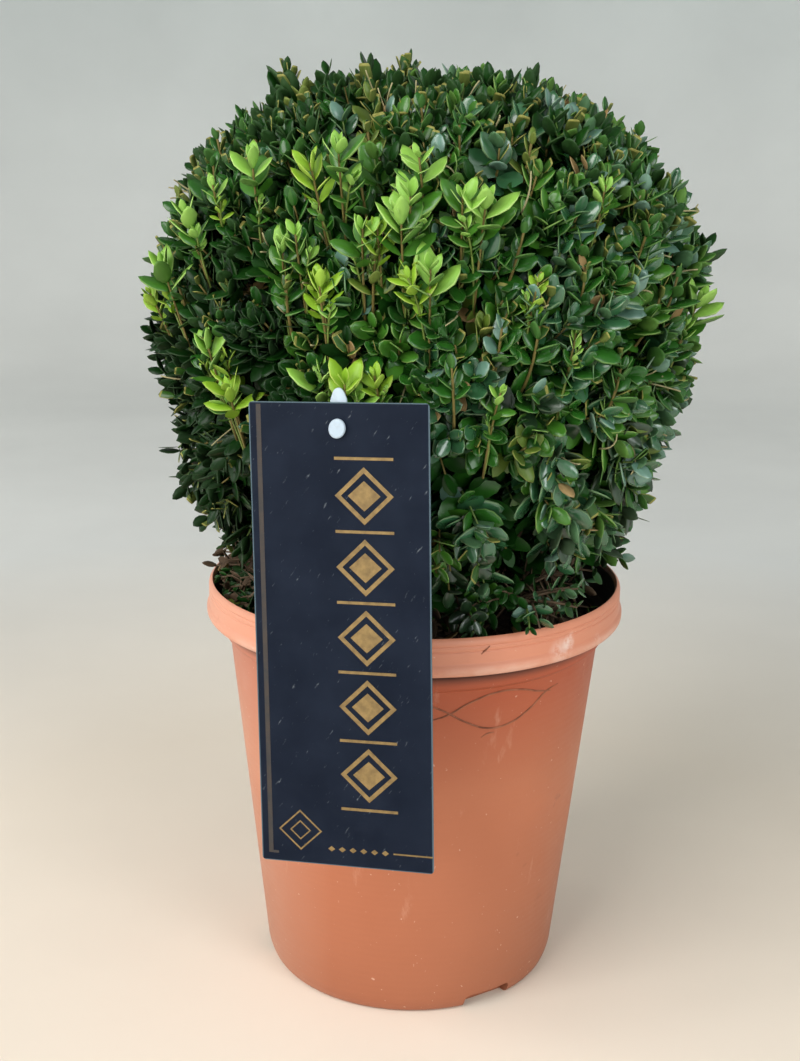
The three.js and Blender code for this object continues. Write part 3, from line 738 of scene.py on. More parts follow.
def tube_block(paths, radii, sides):
    """Closed tubes for joined_piece: paths is tubes x rings x 3, radii a radius for each ring."""
    forward = unit(np.gradient(paths, axis=1))
    first = unit(np.cross(forward, np.array([0.31, 0.17, 0.93])))
    second = np.cross(forward, first)
    angles = (np.arange(sides) / sides * 2 * math.pi)[:, None]
    ring = first[:, :, None] * np.cos(angles) + second[:, :, None] * np.sin(angles)
    copies = paths[:, :, None] + ring * np.array(radii)[None, :, None, None]
    last = (len(radii) - 1) * sides
    faces = [list(range(sides))[::-1], [last + side for side in range(sides)]]
    for near in range(0, last, sides):
        for side in range(sides):
            ahead = (side + 1) % sides
            faces.append([near + side, near + ahead, near + sides + ahead, near + sides + side])
    return copies.reshape(len(paths), -1, 3), faces, [0] * len(faces)


shoot = np.arange(shoots)
shoot_direction = spread_over(shoots, lowest_shoot, 0.995, 0.25)
shoot_tip = crown_point(shoot_direction, chance(shoot, 2) * shoot_unevenness * crown_radius)
shoot_growth = unit(shoot_direction + up * 0.3 * chance(shoot, 3)[:, None])
shoot_length = source_leaf * mix(0.88, 1.08, chance(shoot, 4))[:, None]
shoot_end = shoot_tip - shoot_growth * shoot_length * 0.86
shoot_root = crown_point(shoot_direction, core_depth + shoot_root_depth)
shoot_root[:, 2] -= np.minimum(0, shoot_root[:, 2] - crown_middle[2]) * (1 - core_squat)
limb_points = []
for course in limb_courses:
    for start, end in zip(course[:-1], course[1:]):
        limb_points += [mix(start, end, share) for share in np.linspace(0, 1, 6)]
limb_points = np.array(limb_points)
# A branchlet leaves the limb lower down than its own root, as branches rise on their way out
branch_start = limb_points[nearest(shoot_root * [0.45, 0.45, 1] - up * 0.03, limb_points)]
branch_control = mix(branch_start, shoot_root, 0.5) + up * 0.008 + 0.012 * spin_of(shoot, 51)
branch_paths = np.concatenate([curves(branch_start, branch_control, shoot_root, 7), shoot_end[:, None]], 1)
branch_radii = [0.0017, 0.0015, 0.0014, 0.0013, 0.0012, 0.0011, 0.001, 0.0007]
branch_wood = Look("young_bark", (0.235, 0.165, 0.095, 1), 0.8, 0.25)
branchlets = joined_piece("branchlets", [tube_block(branch_paths, branch_radii, 7)], branch_wood)
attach(branchlets, "root")

# Leaves and twigs: box leaves are leathery ovals about 13 mm long in crossed pairs on thin square
# twigs, glossy dark green with a pale cartilage rim, matt and paler underneath.
leaf_length = 0.0132
leaf_width_share = 0.57
rim_share = 0.034
crease = 0.03
rim_droop = 0.085
# Each station is (how far along the leaf, how wide it is there)
leaf_stations = [(0.0, 0.0), (0.13, 0.52), (0.35, 0.92), (0.60, 0.97), (0.86, 0.58), (1.0, 0.0)]
young_stations = [(0.0, 0.0), (0.12, 0.36), (0.34, 0.80), (0.58, 1.0), (0.84, 0.60), (1.0, 0.0)]
cut_stations = [(0.0, 0.0), (0.13, 0.52), (0.35, 0.92), (0.67, 0.88), (0.75, 0.70), (0.76, 0.0)]


def leaf_shape(stations, simple=False, rim_rings=()):
    """A leaf's points, its faces and their surfaces, as rings across it between two end points.

    A full leaf is closed, with rim, blade, crease, blade, rim and underside. A simple one, for inside
    the crown, is a sheet folded along its crease. Surfaces are 0 for the blade, 1 for the rim and 2
    underneath, and the rim rings are rim right across."""
    strips = [0, 0] if simple else [1, 0, 0, 1, 2, 2]
    points = [(0, 0, 0)]
    for along, width in stations[1:-1]:
        edge, droop = width * 0.5, -rim_droop * width
        inner = edge - rim_share
        if simple:
            points += [(-edge, along, droop), (0, along, 0), (edge, along, droop)]
        else:
            points += [(-edge, along, droop), (-inner, along, 0), (0, along, -crease * width),
                       (inner, along, 0), (edge, along, droop), (0, along, -crease * width - 0.035)]
    points.append((0, stations[-1][0], 0))
    rings, last = len(stations) - 2, len(points) - 1
    around_ring = (last - 1) // rings
    faces, surfaces = [], []
    for side, strip in enumerate(strips):
        ahead = (side + 1) % around_ring
        faces.append([0, 1 + ahead, 1 + side])
        surfaces.append(strip)
        for ring in range(rings - 1):
            near, far = 1 + ring * around_ring, 1 + (ring + 1) * around_ring
            faces.append([near + side, near + ahead, far + ahead, far + side])
            surfaces.append(1 if ring in rim_rings else strip)
        faces.append([last - around_ring + side, last - around_ring + ahead, last])
        surfaces.append(1 if rings - 1 in rim_rings else strip)
    return np.array(points), faces, surfaces


def lay_leaves(template, root, along, face, length, width, bend):
    """Copies of a leaf, each from its root along its own line with its upper side towards face."""
    across = unit(np.cross(along, face))
    face = np.cross(across, along)
    sag = template[:, 1] ** 2 * bend[:, None]
    sideways = across[:, None] * (template[:, 0] * width[:, None])[..., None]
    onward = along[:, None] * (template[:, 1] * length[:, None])[..., None]
    upward = face[:, None] * (template[:, 2] * width[:, None] - sag * length[:, None])[..., None]
    return root[:, None] + sideways + onward + upward


def sprig_leaves(course, key, pitch, shares, leans, light, droop=0.0, build=1.0):
    """Crossed leaf pairs down each sprig from its tip, as (root, line, face, length, sprig, pair, seed).

    The course holds the sprigs' starts, controls and tips, the shares are the leaf sizes pair by pair,
    and the leans are the spread in degrees at a sprig's tip and at its foot. Faces turn a little to
    the light, and build makes a sprig's leaves larger or smaller."""
    start, control, tip = course
    reach = np.linalg.norm(tip - control, axis=1)
    droop = np.broadcast_to(droop, len(tip))[:, None]
    found = []
    for pair, pair_size in enumerate(shares):
        back = 0.0006 + pair * pitch * mix(0.85, 1.2, chance(key, 59))
        share = np.clip(1 - back / (2 * reach), 0.05, 1)[:, None]
        forward = unit((control - start) * (1 - share) + (tip - control) * share)
        level = unit(np.cross(forward, up + 0.02))
        upright = np.cross(forward, level)
        roll = (chance(key, 60) + 0.5 * pair) * math.pi + (chance(key * 7 + pair, 61) - 0.5) * 0.6
        side = level * np.cos(roll)[:, None] + upright * np.sin(roll)[:, None]
        for hand in (-1, 1):
            seed = key * 31 + pair * 2 + hand
            lean = np.radians(mix(*leans, min(1, pair / 3)) + 24 * (chance(seed, 62) - 0.5))[:, None]
            line = forward * np.cos(lean) + side * hand * np.sin(lean)
            line = unit(line + spin_of(seed, 63) * (0.35 + droop) - up * droop)
            face = forward * np.sin(lean) - side * hand * np.cos(lean)
            face = unit(face + spin_of(seed, 66) * 0.55 + light * mix(0.1, 0.75, chance(seed, 70))[:, None])
            size = leaf_length * pair_size * mix(0.8, 1.18, chance(seed, 69)) * build
            place = bent(start, control, tip, share)
            found.append((place, line, face, size, np.arange(len(tip)), np.full(len(tip), pair), seed))
    return [np.concatenate(column) for column in zip(*found)]


def on_crown(degrees, height, depth):
    """The place under the crown's surface at a turn from the front to the right and a height."""
    rise = height - crown_middle[2]
    half, bluntness = crown_part(rise > 0)
    flat = crown_radius * (1 - (np.abs(rise) / half) ** bluntness) ** (1 / bluntness) - depth
    turn = np.radians(degrees)
    return np.stack([crown_middle[0] + np.sin(turn) * flat, -np.cos(turn) * flat, height], 1)


# Nothing grows into the tag, the tie's shank, the pot or the soil
tag_centre = Vector((-0.028, -0.1275, 0.198))
tag_width = 0.069
tag_height = 0.180
tag_thickness = 0.0008
tag_turn = math.radians(-14)
tag_tilt = math.radians(4)
tag_roll = math.radians(-2.5)
tag_frame = (
    Matrix.Translation(tag_centre) @ Matrix.Rotation(tag_turn, 4, "Z")
    @ Matrix.Rotation(tag_roll, 4, "Y") @ Matrix.Rotation(math.pi / 2 - tag_tilt, 4, "X")
)
into_tag = np.array(tag_frame.inverted())


def has_room(point):
    """Which places are clear of the card, the pot's lip and wall and the compost."""
    local = point @ into_tag[:3, :3].T + into_tag[:3, 3]
    over_card = np.all(np.abs(local[:, :2]) < np.array([tag_width, tag_height]) / 2 + 0.003, axis=1)
    in_card = over_card & (local[:, 2] > -0.0035)
    radius = np.hypot(point[:, 0], point[:, 1])
    in_lip = (radius > lip_inner - 0.0018) & (point[:, 2] < pot_height + 0.0015)
    in_wall = (radius > shoulder_radius - 0.004) & (point[:, 2] < lip_bottom + 0.003)
    return ~in_card & ~in_lip & ~in_wall & (point[:, 2] > soil_top + 0.0012)


# Old shoots: stiff yellow-brown stems of last year's growth that stand in small hollows just inside
# the surface, cut at their tops. Each is (turn from the front to the right in degrees, height).
old_shoots = np.array([
    (-16, 0.388), (7, 0.391), (-3, 0.396), (17, 0.350), (31, 0.336), (-27, 0.332), (-10, 0.340), (13, 0.315),
    (-44, 0.318), (48, 0.352), (-33, 0.383), (24, 0.384), (40, 0.300), (-55, 0.372), (58, 0.330), (4, 0.300),
])
more_old = 34
old_seen = unit(on_crown(*old_shoots.T, 0) - crown_middle)
old_direction = np.concatenate([old_seen, spread_over(more_old, -0.2, 0.86, 2.0)])
old = np.arange(len(old_direction))
old_keys_from = 11000
old_key = old + old_keys_from
old_growth = unit(old_direction * 0.2 + up + spin_of(old, 131) * 0.3)
old_tip = crown_point(old_direction, mix(0.002, 0.007, chance(old, 134))) - old_direction * 0.002
old_control = old_tip - old_growth * 0.018
old_course = (old_control - unit(old_growth + old_direction) * 0.014, old_control, old_tip)
old_light = unit(old_direction + up * 0.2)
old_leaves = sprig_leaves(old_course, old_key, 0.0046, [0.5, 0.62, 0.8, 0.95], (16.0, 48.0), old_light)

# Bright new shoots: soft lime-green growth that has come since the last clipping, most of it on the
# upper left of the front, as (turn, height). Below each the growth is set back.
bright_shoots = [
    (-37, 0.369), (-21, 0.371), (-25, 0.347), (-13, 0.352), (-5, 0.348), (-1, 0.375), (6, 0.364),
    (0, 0.337), (-20, 0.331), (-46, 0.302), (-16, 0.292), (-62, 0.328), (-29, 0.342), (-9, 0.350),
    (-4, 0.360), (9, 0.359), (-18, 0.376), (66, 0.318), (-52, 0.353), (-43, 0.296), (-22, 0.291),
    (-42, 0.288), (118, 0.352), (171, 0.361), (205, 0.343), (243, 0.366), (152, 0.331), (222, 0.317),
]
small_bright_shoots = [
    (-9, 0.304), (19, 0.338), (28, 0.318), (-72, 0.323), (36, 0.372), (-20, 0.338), (-48, 0.369),
    (12, 0.296),
]
bright_turn, bright_height = np.array(bright_shoots + small_bright_shoots).T
below_bright = unit(on_crown(bright_turn, bright_height - 0.030, 0) - crown_middle)

# The finer growth: sprigs spread over the ball by the same rule, each from its nearest shoot. They
# gather a little round it, which leaves dark gaps between the shoots, and lean up to the light. The
# shears went deeper in some places and left others proud, and round each old shoot is a hollow.
sprigs = 2500
clipped_reach = 0.0076
# Keys keep the draws of one kind of growth apart from those of another
sprig_keys_from = 2000
skirt_keys_from = 7000
bright_keys_from = 9000
shade_keys_from = 13000
# Each cut is (the direction from the crown's middle, how deep, how wide)
cuts = [
    ((-0.72, -0.10, 0.68), 0.005, 0.04), ((-0.95, -0.13, 0.25), 0.011, 0.02),
    ((0.79, -0.13, 0.59), 0.018, 0.02), ((-0.98, -0.18, 0.02), -0.004, 0.02),
    ((0.98, -0.17, 0.06), 0.009, 0.02), ((0.96, -0.17, 0.27), -0.004, 0.02),
    ((0.70, -0.14, 0.71), -0.003, 0.02), ((0.79, -0.22, -0.57), 0.009, 0.03),
    ((0.58, -0.10, 0.81), 0.005, 0.01), ((0.38, -0.12, 0.92), 0.003, 0.01),
    ((-0.40, -0.09, 0.91), 0.003, 0.006), ((0.97, -0.20, -0.13), 0.008, 0.015),
    ((-0.76, -0.19, -0.60), -0.003, 0.02), ((-0.90, -0.19, -0.38), 0.005, 0.006),
]
cuts += [(direction, 0.009, 0.0035) for direction in old_direction]
cuts += [(direction, 0.008, 0.0025) for direction in below_bright]


def clipped(direction, depth):
    """The depth under the egg's surface once its bumps and the shears' cuts are allowed for."""
    depth = depth - np.array([noise.noise(Vector(way) * 4.5) for way in direction]) * 0.005
    for place, cut, spread in cuts:
        depth = depth + cut * np.exp(-np.sum((direction - unit(np.array(place))) ** 2, 1) / spread)
    return depth


sprig = np.arange(sprigs)
sprig_key = sprig + sprig_keys_from
sprig_direction = spread_over(sprigs, -0.82, 0.998, 0.9)
parent = nearest(sprig_direction, shoot_direction)
sprig_direction = unit(mix(sprig_direction, shoot_direction[parent], 0.2) + spin_of(sprig, 171) * 0.05)
deep = chance(sprig, 71) < mix(0.42, 0.22, np.clip((sprig_direction[:, 2] + 0.6) / 0.6, 0, 1))
sprig_depth = np.where(deep, mix(0.012, 0.030, chance(sprig, 72)), mix(0, 0.007, chance(sprig, 73)))
sprig_depth = clipped(sprig_direction, sprig_depth)
height_share = np.clip((sprig_direction[:, 2] + 0.55) / 0.5, 0, 1)
lift = mix(mix(-0.15, 0.35, chance(sprig, 74)), mix(0.5, 1.5, chance(sprig, 74)), height_share)
sprig_growth = unit(sprig_direction + up * lift[:, None] + spin_of(sprig, 75) * 0.45)
sprig_tip = crown_point(sprig_direction, sprig_depth) - unit(sprig_growth + sprig_direction) * clipped_reach

# A few shoots that the shears missed stand proud of the outline, as (turn, height, how proud)
proud_shoots = np.array([
    (-80, 0.404, 0.0065), (-82, 0.4035, 0.0045), (-78, 0.4045, 0.004), (-76, 0.4085, 0.002),
    (-55, 0.4105, 0.0005), (-27, 0.4115, 0.003), (-30, 0.4112, 0.0005), (72, 0.4085, -0.001),
    (150, 0.406, 0.002), (80, 0.342, 0.0), (190, 0.409, 0.002),
])
first_proud = 40
proud_step = 9
proud = first_proud + np.arange(len(proud_shoots)) * proud_step
proud_turn, proud_height, proud_rise = proud_shoots.T
proud_tip = on_crown(proud_turn, proud_height, 0.002) + up * (proud_rise - clipped_reach * 0.6)[:, None]
sprig_tip[proud] = proud_tip
sprig_growth[proud] = unit(proud_tip - crown_middle + up * 0.3)
sprig_growth[proud, 2] += 1.2
parent[proud] = nearest(unit(proud_tip - crown_middle), shoot_direction)
deep[proud] = False
height_share[proud] = 1
sprig_growth = unit(sprig_growth)

# Low down the growth is thin and open in places, and none of it enters the pot, the soil or the card
patchy = np.array([noise.noise(Vector(direction) * 7 + Vector((3, 1, 2))) for direction in sprig_direction])
open_below = ~deep & (height_share < 0.5) & (patchy > mix(0.24, 0.42, height_share))
growing = has_room(sprig_tip) & ~open_below
sprig, sprig_key, sprig_direction, sprig_growth, sprig_tip, parent, deep, height_share = (
    values[growing] for values in
    (sprig, sprig_key, sprig_direction, sprig_growth, sprig_tip, parent, deep, height_share)
)
parent_share = mix(0.1, 0.75, chance(sprig, 79))[:, None]
ball_course = (
    mix(shoot_root[parent], shoot_end[parent], parent_share),
    sprig_tip - sprig_growth * mix(0.017, 0.026, chance(sprig, 78))[:, None],
    sprig_tip,
)
ball_leaves = sprig_leaves(
    ball_course, sprig_key, 0.0057, [0.66, 0.9, 1.0, 1.04, 1.0],
    (mix(40, 18, height_share), mix(70, 44, height_share)),
    unit(sprig_direction * [1, 1, 0.35] + up * 0.25), mix(0.5, 0.0, height_share) * chance(sprig, 80),
    mix(1.12, 0.98, height_share) + 0.09 * sprig_direction[:, 0],
)

# Straw: thin dead ends of twigs, pale as straw, stick out here and there
straws = 130
straw = np.arange(straws)
straw_direction = spread_over(straws, -0.5, 0.93, 2.5)
straw_tip = crown_point(straw_direction, clipped(straw_direction, mix(0.001, 0.006, chance(straw, 221))))
straw_growth = unit(straw_direction * 0.9 + up * 0.5 + spin_of(straw, 222) * 1.5)
straw_control = straw_tip - straw_growth * 0.005 + spin_of(straw, 225) * 0.007
straw_course = (straw_control - unit(straw_growth + straw_direction * 2) * 0.010, straw_control, straw_tip)

# Shade growth: small dark sprigs round the boughs, low down inside the ball
shade_sprigs = 260
shade = np.arange(shade_sprigs)
shade_out = around(chance(shade, 181) * 2 * math.pi)
shade_reach = np.sqrt(mix(0.1, 1, chance(shade, 182)))[:, None] * 0.074
shade_tip = shade_out * shade_reach + up * mix(0.196, 0.262, chance(shade, 183))[:, None]
shade_start = shade_tip - unit(shade_out * 0.6 + up + spin_of(shade, 184)) * 0.024
shade_course = (shade_start, mix(shade_start, shade_tip, 0.5) + spin_of(shade, 187) * 0.005, shade_tip)
shade_leaves = sprig_leaves(
    shade_course, shade + shade_keys_from, 0.0052, [0.7, 0.9, 0.95, 0.9], (34.0, 66.0), shade_out, build=0.85
)

# The skirt: five sprays over the pot's rim, from the tips of the spreading boughs
skirt_reach = 0.082
skirt_rise = 0.009
skirt_twigs = 22
skirt_twig_length = 0.027
skirt_starts, skirt_controls, skirt_tips, skirt_stems = [], [], [], []
for number in range(skirt_sprays):
    turn = skirt_turn(number)
    outward = np.array([math.cos(turn), math.sin(turn), 0])
    tip_height = skirt_bough_end + skirt_rise * mix(0.6, 1, chance(number, 21))
    bough_tip = outward * skirt_bough_reach + up * skirt_bough_end
    spray_tip = outward * skirt_reach + up * tip_height
    skirt_stems.append([bough_tip, bough_tip + outward * 0.008 + up * 0.001,
                        outward * skirt_reach * 0.8 + up * (tip_height - 0.001), spray_tip])
    for twig in range(skirt_twigs):
        index = 1000 + number * 50 + twig
        along = mix(-0.25, 1.0, twig / (skirt_twigs - 1))
        start = mix(bough_tip, spray_tip, max(0, along))
        swing = math.radians(mix(80, 25, max(0, along)) + 20 * chance(index, 22)) * (-1 if twig % 2 else 1)
        rise = mix(-0.35, 0.75, chance(index, 23))
        heading = np.array([math.cos(turn + swing), math.sin(turn + swing), rise])
        length = skirt_twig_length * mix(0.7, 1.35, chance(index, 24)) * mix(1.15, 0.7, max(0, along))
        tip = start + unit(heading) * length
        skirt_starts.append(start)
        skirt_tips.append(tip)
        skirt_controls.append(mix(start, tip, 0.5) + up * 0.002)
# Stray twigs reach the lip on both sides, as (turn from the front to the right, radius, height), and
# more are scattered, as (how many, their first use of chance, the ranges of the same three)
stray_tips = [
    (-84, 0.0905, 0.192), (-76, 0.0895, 0.190), (-92, 0.0875, 0.195), (-68, 0.088, 0.189),
    (-101, 0.0865, 0.197), (-60, 0.087, 0.188), (64, 0.086, 0.200), (72, 0.090, 0.206),
    (81, 0.091, 0.209), (16, 0.087, 0.192), (130, 0.089, 0.200), (200, 0.088, 0.199),
]
stray_groups = [
    (56, 201, (-118, -54), (0.068, 0.087), (0.178, 0.199)),
    (12, 204, (40, 96), (0.062, 0.083), (0.178, 0.198)),
    (72, 207, (-116, -64), (0.078, 0.0875), (0.174, 0.191)),
    (34, 213, (-114, -66), (0.068, 0.085), (0.196, 0.224)),
]
for count, use, *ranges in stray_groups:
    for index in range(count):
        stray_tips.append([mix(*span, chance(index, use + part)) for part, span in enumerate(ranges)])
first_stray = len(skirt_tips)
for index, (degrees, radius, height) in enumerate(stray_tips):
    begun = degrees + 50 * (chance(index, 210) - 0.5)
    begun_height = mix(0.172, 0.205, chance(index, 212))
    begun_outward = np.array(from_front(begun, 1, 0))
    skirt_starts.append(begun_outward * radius * mix(0.5, 0.75, chance(index, 211)) + up * begun_height)
    skirt_tips.append(np.array(from_front(degrees, radius, height)))
    skirt_controls.append(np.array(from_front(degrees, 1, 0)) * radius * 0.8 + up * (height + 0.001))
skirt_course = [np.array(places) for places in (skirt_starts, skirt_controls, skirt_tips)]
skirt_key = np.arange(len(skirt_tips)) + skirt_keys_from
skirt_leaves = sprig_leaves(
    skirt_course, skirt_key, 0.0055, [0.7, 0.9, 1.0, 1.0], (34.0, 68.0),
    unit(skirt_course[2] * [1, 1, 0]) + up * 0.5, 0.45 * chance(skirt_key, 80),
    mix(0.5, 0.85, chance(skirt_key, 82)),
)

# Each bright shoot has a smaller one beside it
bright_count = len(bright_turn)
bright = np.arange(bright_count * 2)
bright_key = bright + bright_keys_from
pair_key = bright % bright_count
bright_side = np.where(bright < bright_count, 0, np.where(pair_key % 2, 1, -1))
bright_build = np.where(pair_key < len(bright_shoots), 1.0, 0.65) * mix(0.9, 1.15, chance(pair_key, 140))
bright_build = bright_build * np.where(bright_side == 0, 1.0, mix(0.35, 0.85, chance(bright, 141)))
bright_base = on_crown(bright_turn[pair_key], bright_height[pair_key] - 0.019, 0.009)
bright_outward = unit((bright_base - crown_middle) * [1, 1, 0.2])
bright_across = unit(np.cross(bright_outward, up)) * bright_side[:, None]
bright_growth = unit(
    bright_outward * mix(0.2, 0.55, chance(pair_key, 81))[:, None] + up + spin_of(pair_key, 84) * 0.35
    + bright_across * mix(0.3, 0.65, chance(bright, 143))[:, None]
)
bright_tip = bright_base + bright_growth * (mix(0.017, 0.024, chance(bright, 82)) * bright_build)[:, None]
bright_start = bright_base - bright_outward * 0.008 - up * 0.022
bright_course = (bright_start, bright_tip - bright_growth * 0.012, bright_tip)
bright_leaves = sprig_leaves(
    bright_course, bright_key, 0.0024, [0.5, 0.8, 0.96, 0.94, 0.86], (12.0, 46.0),
    bright_outward + up * 0.25, build=bright_build,
)

# What kind of leaf each sprig bears, so that colour is dealt out by the sprig. Each tint is the
# blade's colour, its rim's, its roughness, its gloss and its width beside the usual.
tints = {
    "deep": ((0.009, 0.047, 0.006, 1), (0.035, 0.08, 0.02, 1), 0.28, 0.2, 0.94),
    "shade": ((0.005, 0.026, 0.004, 1), (0.018, 0.045, 0.012, 1), 0.32, 0.17, 0.94),
    "full": ((0.019, 0.098, 0.010, 1), (0.085, 0.18, 0.04, 1), 0.27, 0.45, 0.96),
    "cool": ((0.032, 0.115, 0.045, 1), (0.13, 0.22, 0.10, 1), 0.25, 0.95, 1.04),
    "dusk": ((0.017, 0.043, 0.017, 1), (0.07, 0.10, 0.05, 1), 0.3, 0.7, 0.96),
    "light": ((0.045, 0.155, 0.014, 1), (0.17, 0.29, 0.065, 1), 0.31, 0.5, 0.94),
    "olive": ((0.09, 0.145, 0.018, 1), (0.22, 0.25, 0.06, 1), 0.4, 0.4, 0.8),
    # The next tint is a painted sheen: a pale blue-grey standing for sky reflected in glossy leaves
    "waxy": ((0.11, 0.22, 0.165, 1), (0.20, 0.30, 0.20, 1), 0.3, 0.9, 1.1),
    "bright": ((0.225, 0.44, 0.06, 1), (0.37, 0.56, 0.15, 1), 0.42, 0.35, 0.82),
    "young": ((0.23, 0.41, 0.025, 1), (0.38, 0.50, 0.09, 1), 0.42, 0.35, 0.78),
    "dry": ((0.27, 0.17, 0.065, 1), (0.38, 0.27, 0.13, 1), 0.7, 0.3, 0.8),
    "brown": ((0.062, 0.038, 0.022, 1), (0.13, 0.085, 0.05, 1), 0.75, 0.2, 0.8),
    "cut": ((0.026, 0.085, 0.010, 1), (0.26, 0.25, 0.06, 1), 0.35, 0.4, 0.76),
}
under_share = 0.35


def tint_of(owner, place):
    """The name of the tint of each sprig, by chance and by where the light falls on the plant."""
    side = (place[:, 0] - crown_middle[0]) / crown_radius
    rise = (place[:, 2] - crown_middle[2]) / crown_above
    low_left = np.clip(-side, 0, 1) * np.clip(0.3 - rise, 0, 1)
    lit = np.clip(1 - 2.5 * low_left, 0, 1)
    light_share = np.clip(0.2 + 0.32 * side, 0.07, 0.55) * lit
    cool_share = np.clip(0.21 + 0.28 * side - 0.12 * rise, 0.02, 0.55) * lit
    deep_share = 0.36 + 0.5 * np.maximum(rise, 0) - 0.45 * np.maximum(side, 0) - 0.2 * np.minimum(side, 0)
    deep_share = np.clip(deep_share + 2.6 * low_left, 0, 0.98)
    dusk_share = np.clip(-rise * 0.75 + 0.1 * side - 2 * low_left, 0, 0.7)
    draw = chance(owner, 91)
    names = np.full(len(owner), "full", dtype="<U8")
    names[draw < deep_share] = "deep"
    names[draw > 1 - light_share] = "light"
    names[(chance(owner, 99) < dusk_share) & (names != "light")] = "dusk"
    names[(chance(owner, 98) < cool_share) & (draw < 0.85)] = "cool"
    names[(draw > 0.97) & (low_left < 0.1)] = "olive"
    names[(names == "deep") & (chance(owner, 100) < 4 * low_left)] = "shade"
    return names


def gather(leaves, names, inside=False, cut_share=0.0, full_pairs=4):
    """Adds the leaves that have room to the heap of their tint. Some at the tips are cut short.

    The leaves of sprigs inside the crown, and those below the full pairs, have the simple shape."""
    root, line, face, size, owner, pair, seed = leaves
    plain = np.broadcast_to(inside, names.shape)[owner] | (pair >= full_pairs)
    cut_share = np.broadcast_to(cut_share, names.shape)[owner]
    names = names[owner]
    odd = chance(seed, 95)
    # Leaves picked here, more of them to the right, take the painted sheen tint of reflected sky
    waxy = odd > 0.93 - 0.06 * (root[:, 0] - crown_middle[0]) / crown_radius
    names = np.where(waxy & np.isin(names, ("cool", "full", "dusk")), "waxy", names)
    names = np.where(odd < 0.006, "dry", names)
    names = np.where((pair < 2) & ~plain & (chance(seed, 94) < cut_share), "cut", names)
    ageing = (pair > 1) & (chance(seed, 93) < 0.3 * pair - 0.1)
    names = np.where(ageing & (names == "bright"), "light", names)
    free = np.ones(len(root), bool)
    for share in (0, 0.35, 0.7, 1.0):
        free &= has_room(root + line * (size * share)[:, None])
    for name, simple in heap:
        chosen = free & (names == name) & (plain == simple)
        if chosen.any():
            heap[name, simple].append([values[chosen] for values in (root, line, face, size, seed)])


heap = {(name, simple): [] for name in tints for simple in (False, True)}
top_share = np.clip((sprig_tip[:, 2] - 0.33) / 0.06, 0, 1)
left_share = np.clip((crown_middle[0] - sprig_tip[:, 0]) / crown_radius, 0, 1)
sprig_tint = tint_of(sprig_key, sprig_tip)
sprig_tint[deep | np.isin(sprig_key, proud + sprig_keys_from)] = "deep"
gather(ball_leaves, sprig_tint, deep, mix(0.1, 0.28 + 0.15 * left_share, top_share), 3)
stray_left = (np.arange(len(skirt_key)) >= first_stray) & (skirt_course[2][:, 0] < -0.03)
skirt_draw = chance(skirt_key, 99)
skirt_tint = tint_of(skirt_key, skirt_course[2])
skirt_tint[chance(skirt_key, 101) < 0.45] = "deep"
skirt_tint[skirt_draw < np.where(stray_left, 0.45, 0.22)] = "brown"
skirt_tint[stray_left & (skirt_draw > 0.9)] = "olive"
gather(skirt_leaves, skirt_tint)
gather(shade_leaves, np.full(shade_sprigs, "deep"), True)
gather(bright_leaves, np.where(chance(bright_key, 145) < 0.3, "young", "bright"))
gather(old_leaves, np.where(chance(old_key, 92) < 0.15, "olive", "full"), cut_share=0.3)

# Fallen leaves lie about on the compost
fallen_count = 190
fallen = np.arange(fallen_count)
fallen_root = strewn(fallen, 151, 0.06, soil_wall - 0.007, 0.0016)
fallen_line = unit(spin_of(fallen, 153) * [1, 1, 0.25] + up * 0.04)
fallen_face = unit(up + spin_of(fallen, 156) * 0.9)
fallen_size = mix(0.008, 0.013, chance(fallen, 159))
fallen_inside = np.hypot(*(fallen_root + fallen_line * fallen_size[:, None])[:, :2].T) < soil_wall - 0.003
fallen_kind = np.where(chance(fallen, 160) < 0.3, "dry", "brown")
for name in ("dry", "brown"):
    chosen = fallen_inside & (fallen_kind == name)
    fallen_leaves = (fallen_root, fallen_line, fallen_face, fallen_size, fallen)
    heap[name, False].append([values[chosen] for values in fallen_leaves])

most_leaves = 3900
usual_shape = leaf_shape(leaf_stations)
simple_shape = leaf_shape(leaf_stations, simple=True)
young_shape = leaf_shape(young_stations)
shapes = {"cut": leaf_shape(cut_stations, rim_rings=(2, 3)), "bright": young_shape, "young": young_shape}
for name, (blade_colour, rim_colour, roughness, gloss, slimness) in tints.items():
    under_colour = [mix(first, second, under_share) for first, second in zip(blade_colour, rim_colour)]
    blade = Look(f"{name}_leaf", blade_colour, roughness, gloss)
    rim = Look(f"{name}_leaf_rim", rim_colour, 0.6, 0.35)
    under = Look(f"{name}_leaf_underside", under_colour, 0.62, 0.3)
    for simple in (False, True):
        if not heap[name, simple]:
            continue
        root, line, face, size, seed = [np.concatenate(column) for column in zip(*heap[name, simple])]
        width = size * leaf_width_share * slimness * mix(0.86, 1.14, chance(seed, 96))
        bend = mix(-0.02, 0.24, chance(seed, 97))
        shape, faces, surfaces = simple_shape if simple else shapes.get(name, usual_shape)
        copies = lay_leaves(shape, root, line, face, size, width, bend)
        looks = [blade] if simple else [blade, rim, under]
        for part, start in enumerate(range(0, len(copies), most_leaves)):
            piece_name = f"{'inner' if simple else 'outer'}_leaves_{name}_{part + 1}"
            block = (copies[start:start + most_leaves], faces, surfaces)
            leaves_piece = joined_piece(piece_name, [block], *looks)
            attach(leaves_piece, "root")
            if piece_name == "outer_leaves_deep_1":
                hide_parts("crown_ball")
                for number in range(skirt_sprays):
                    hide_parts(f"skirt_spray_{number + 1}")

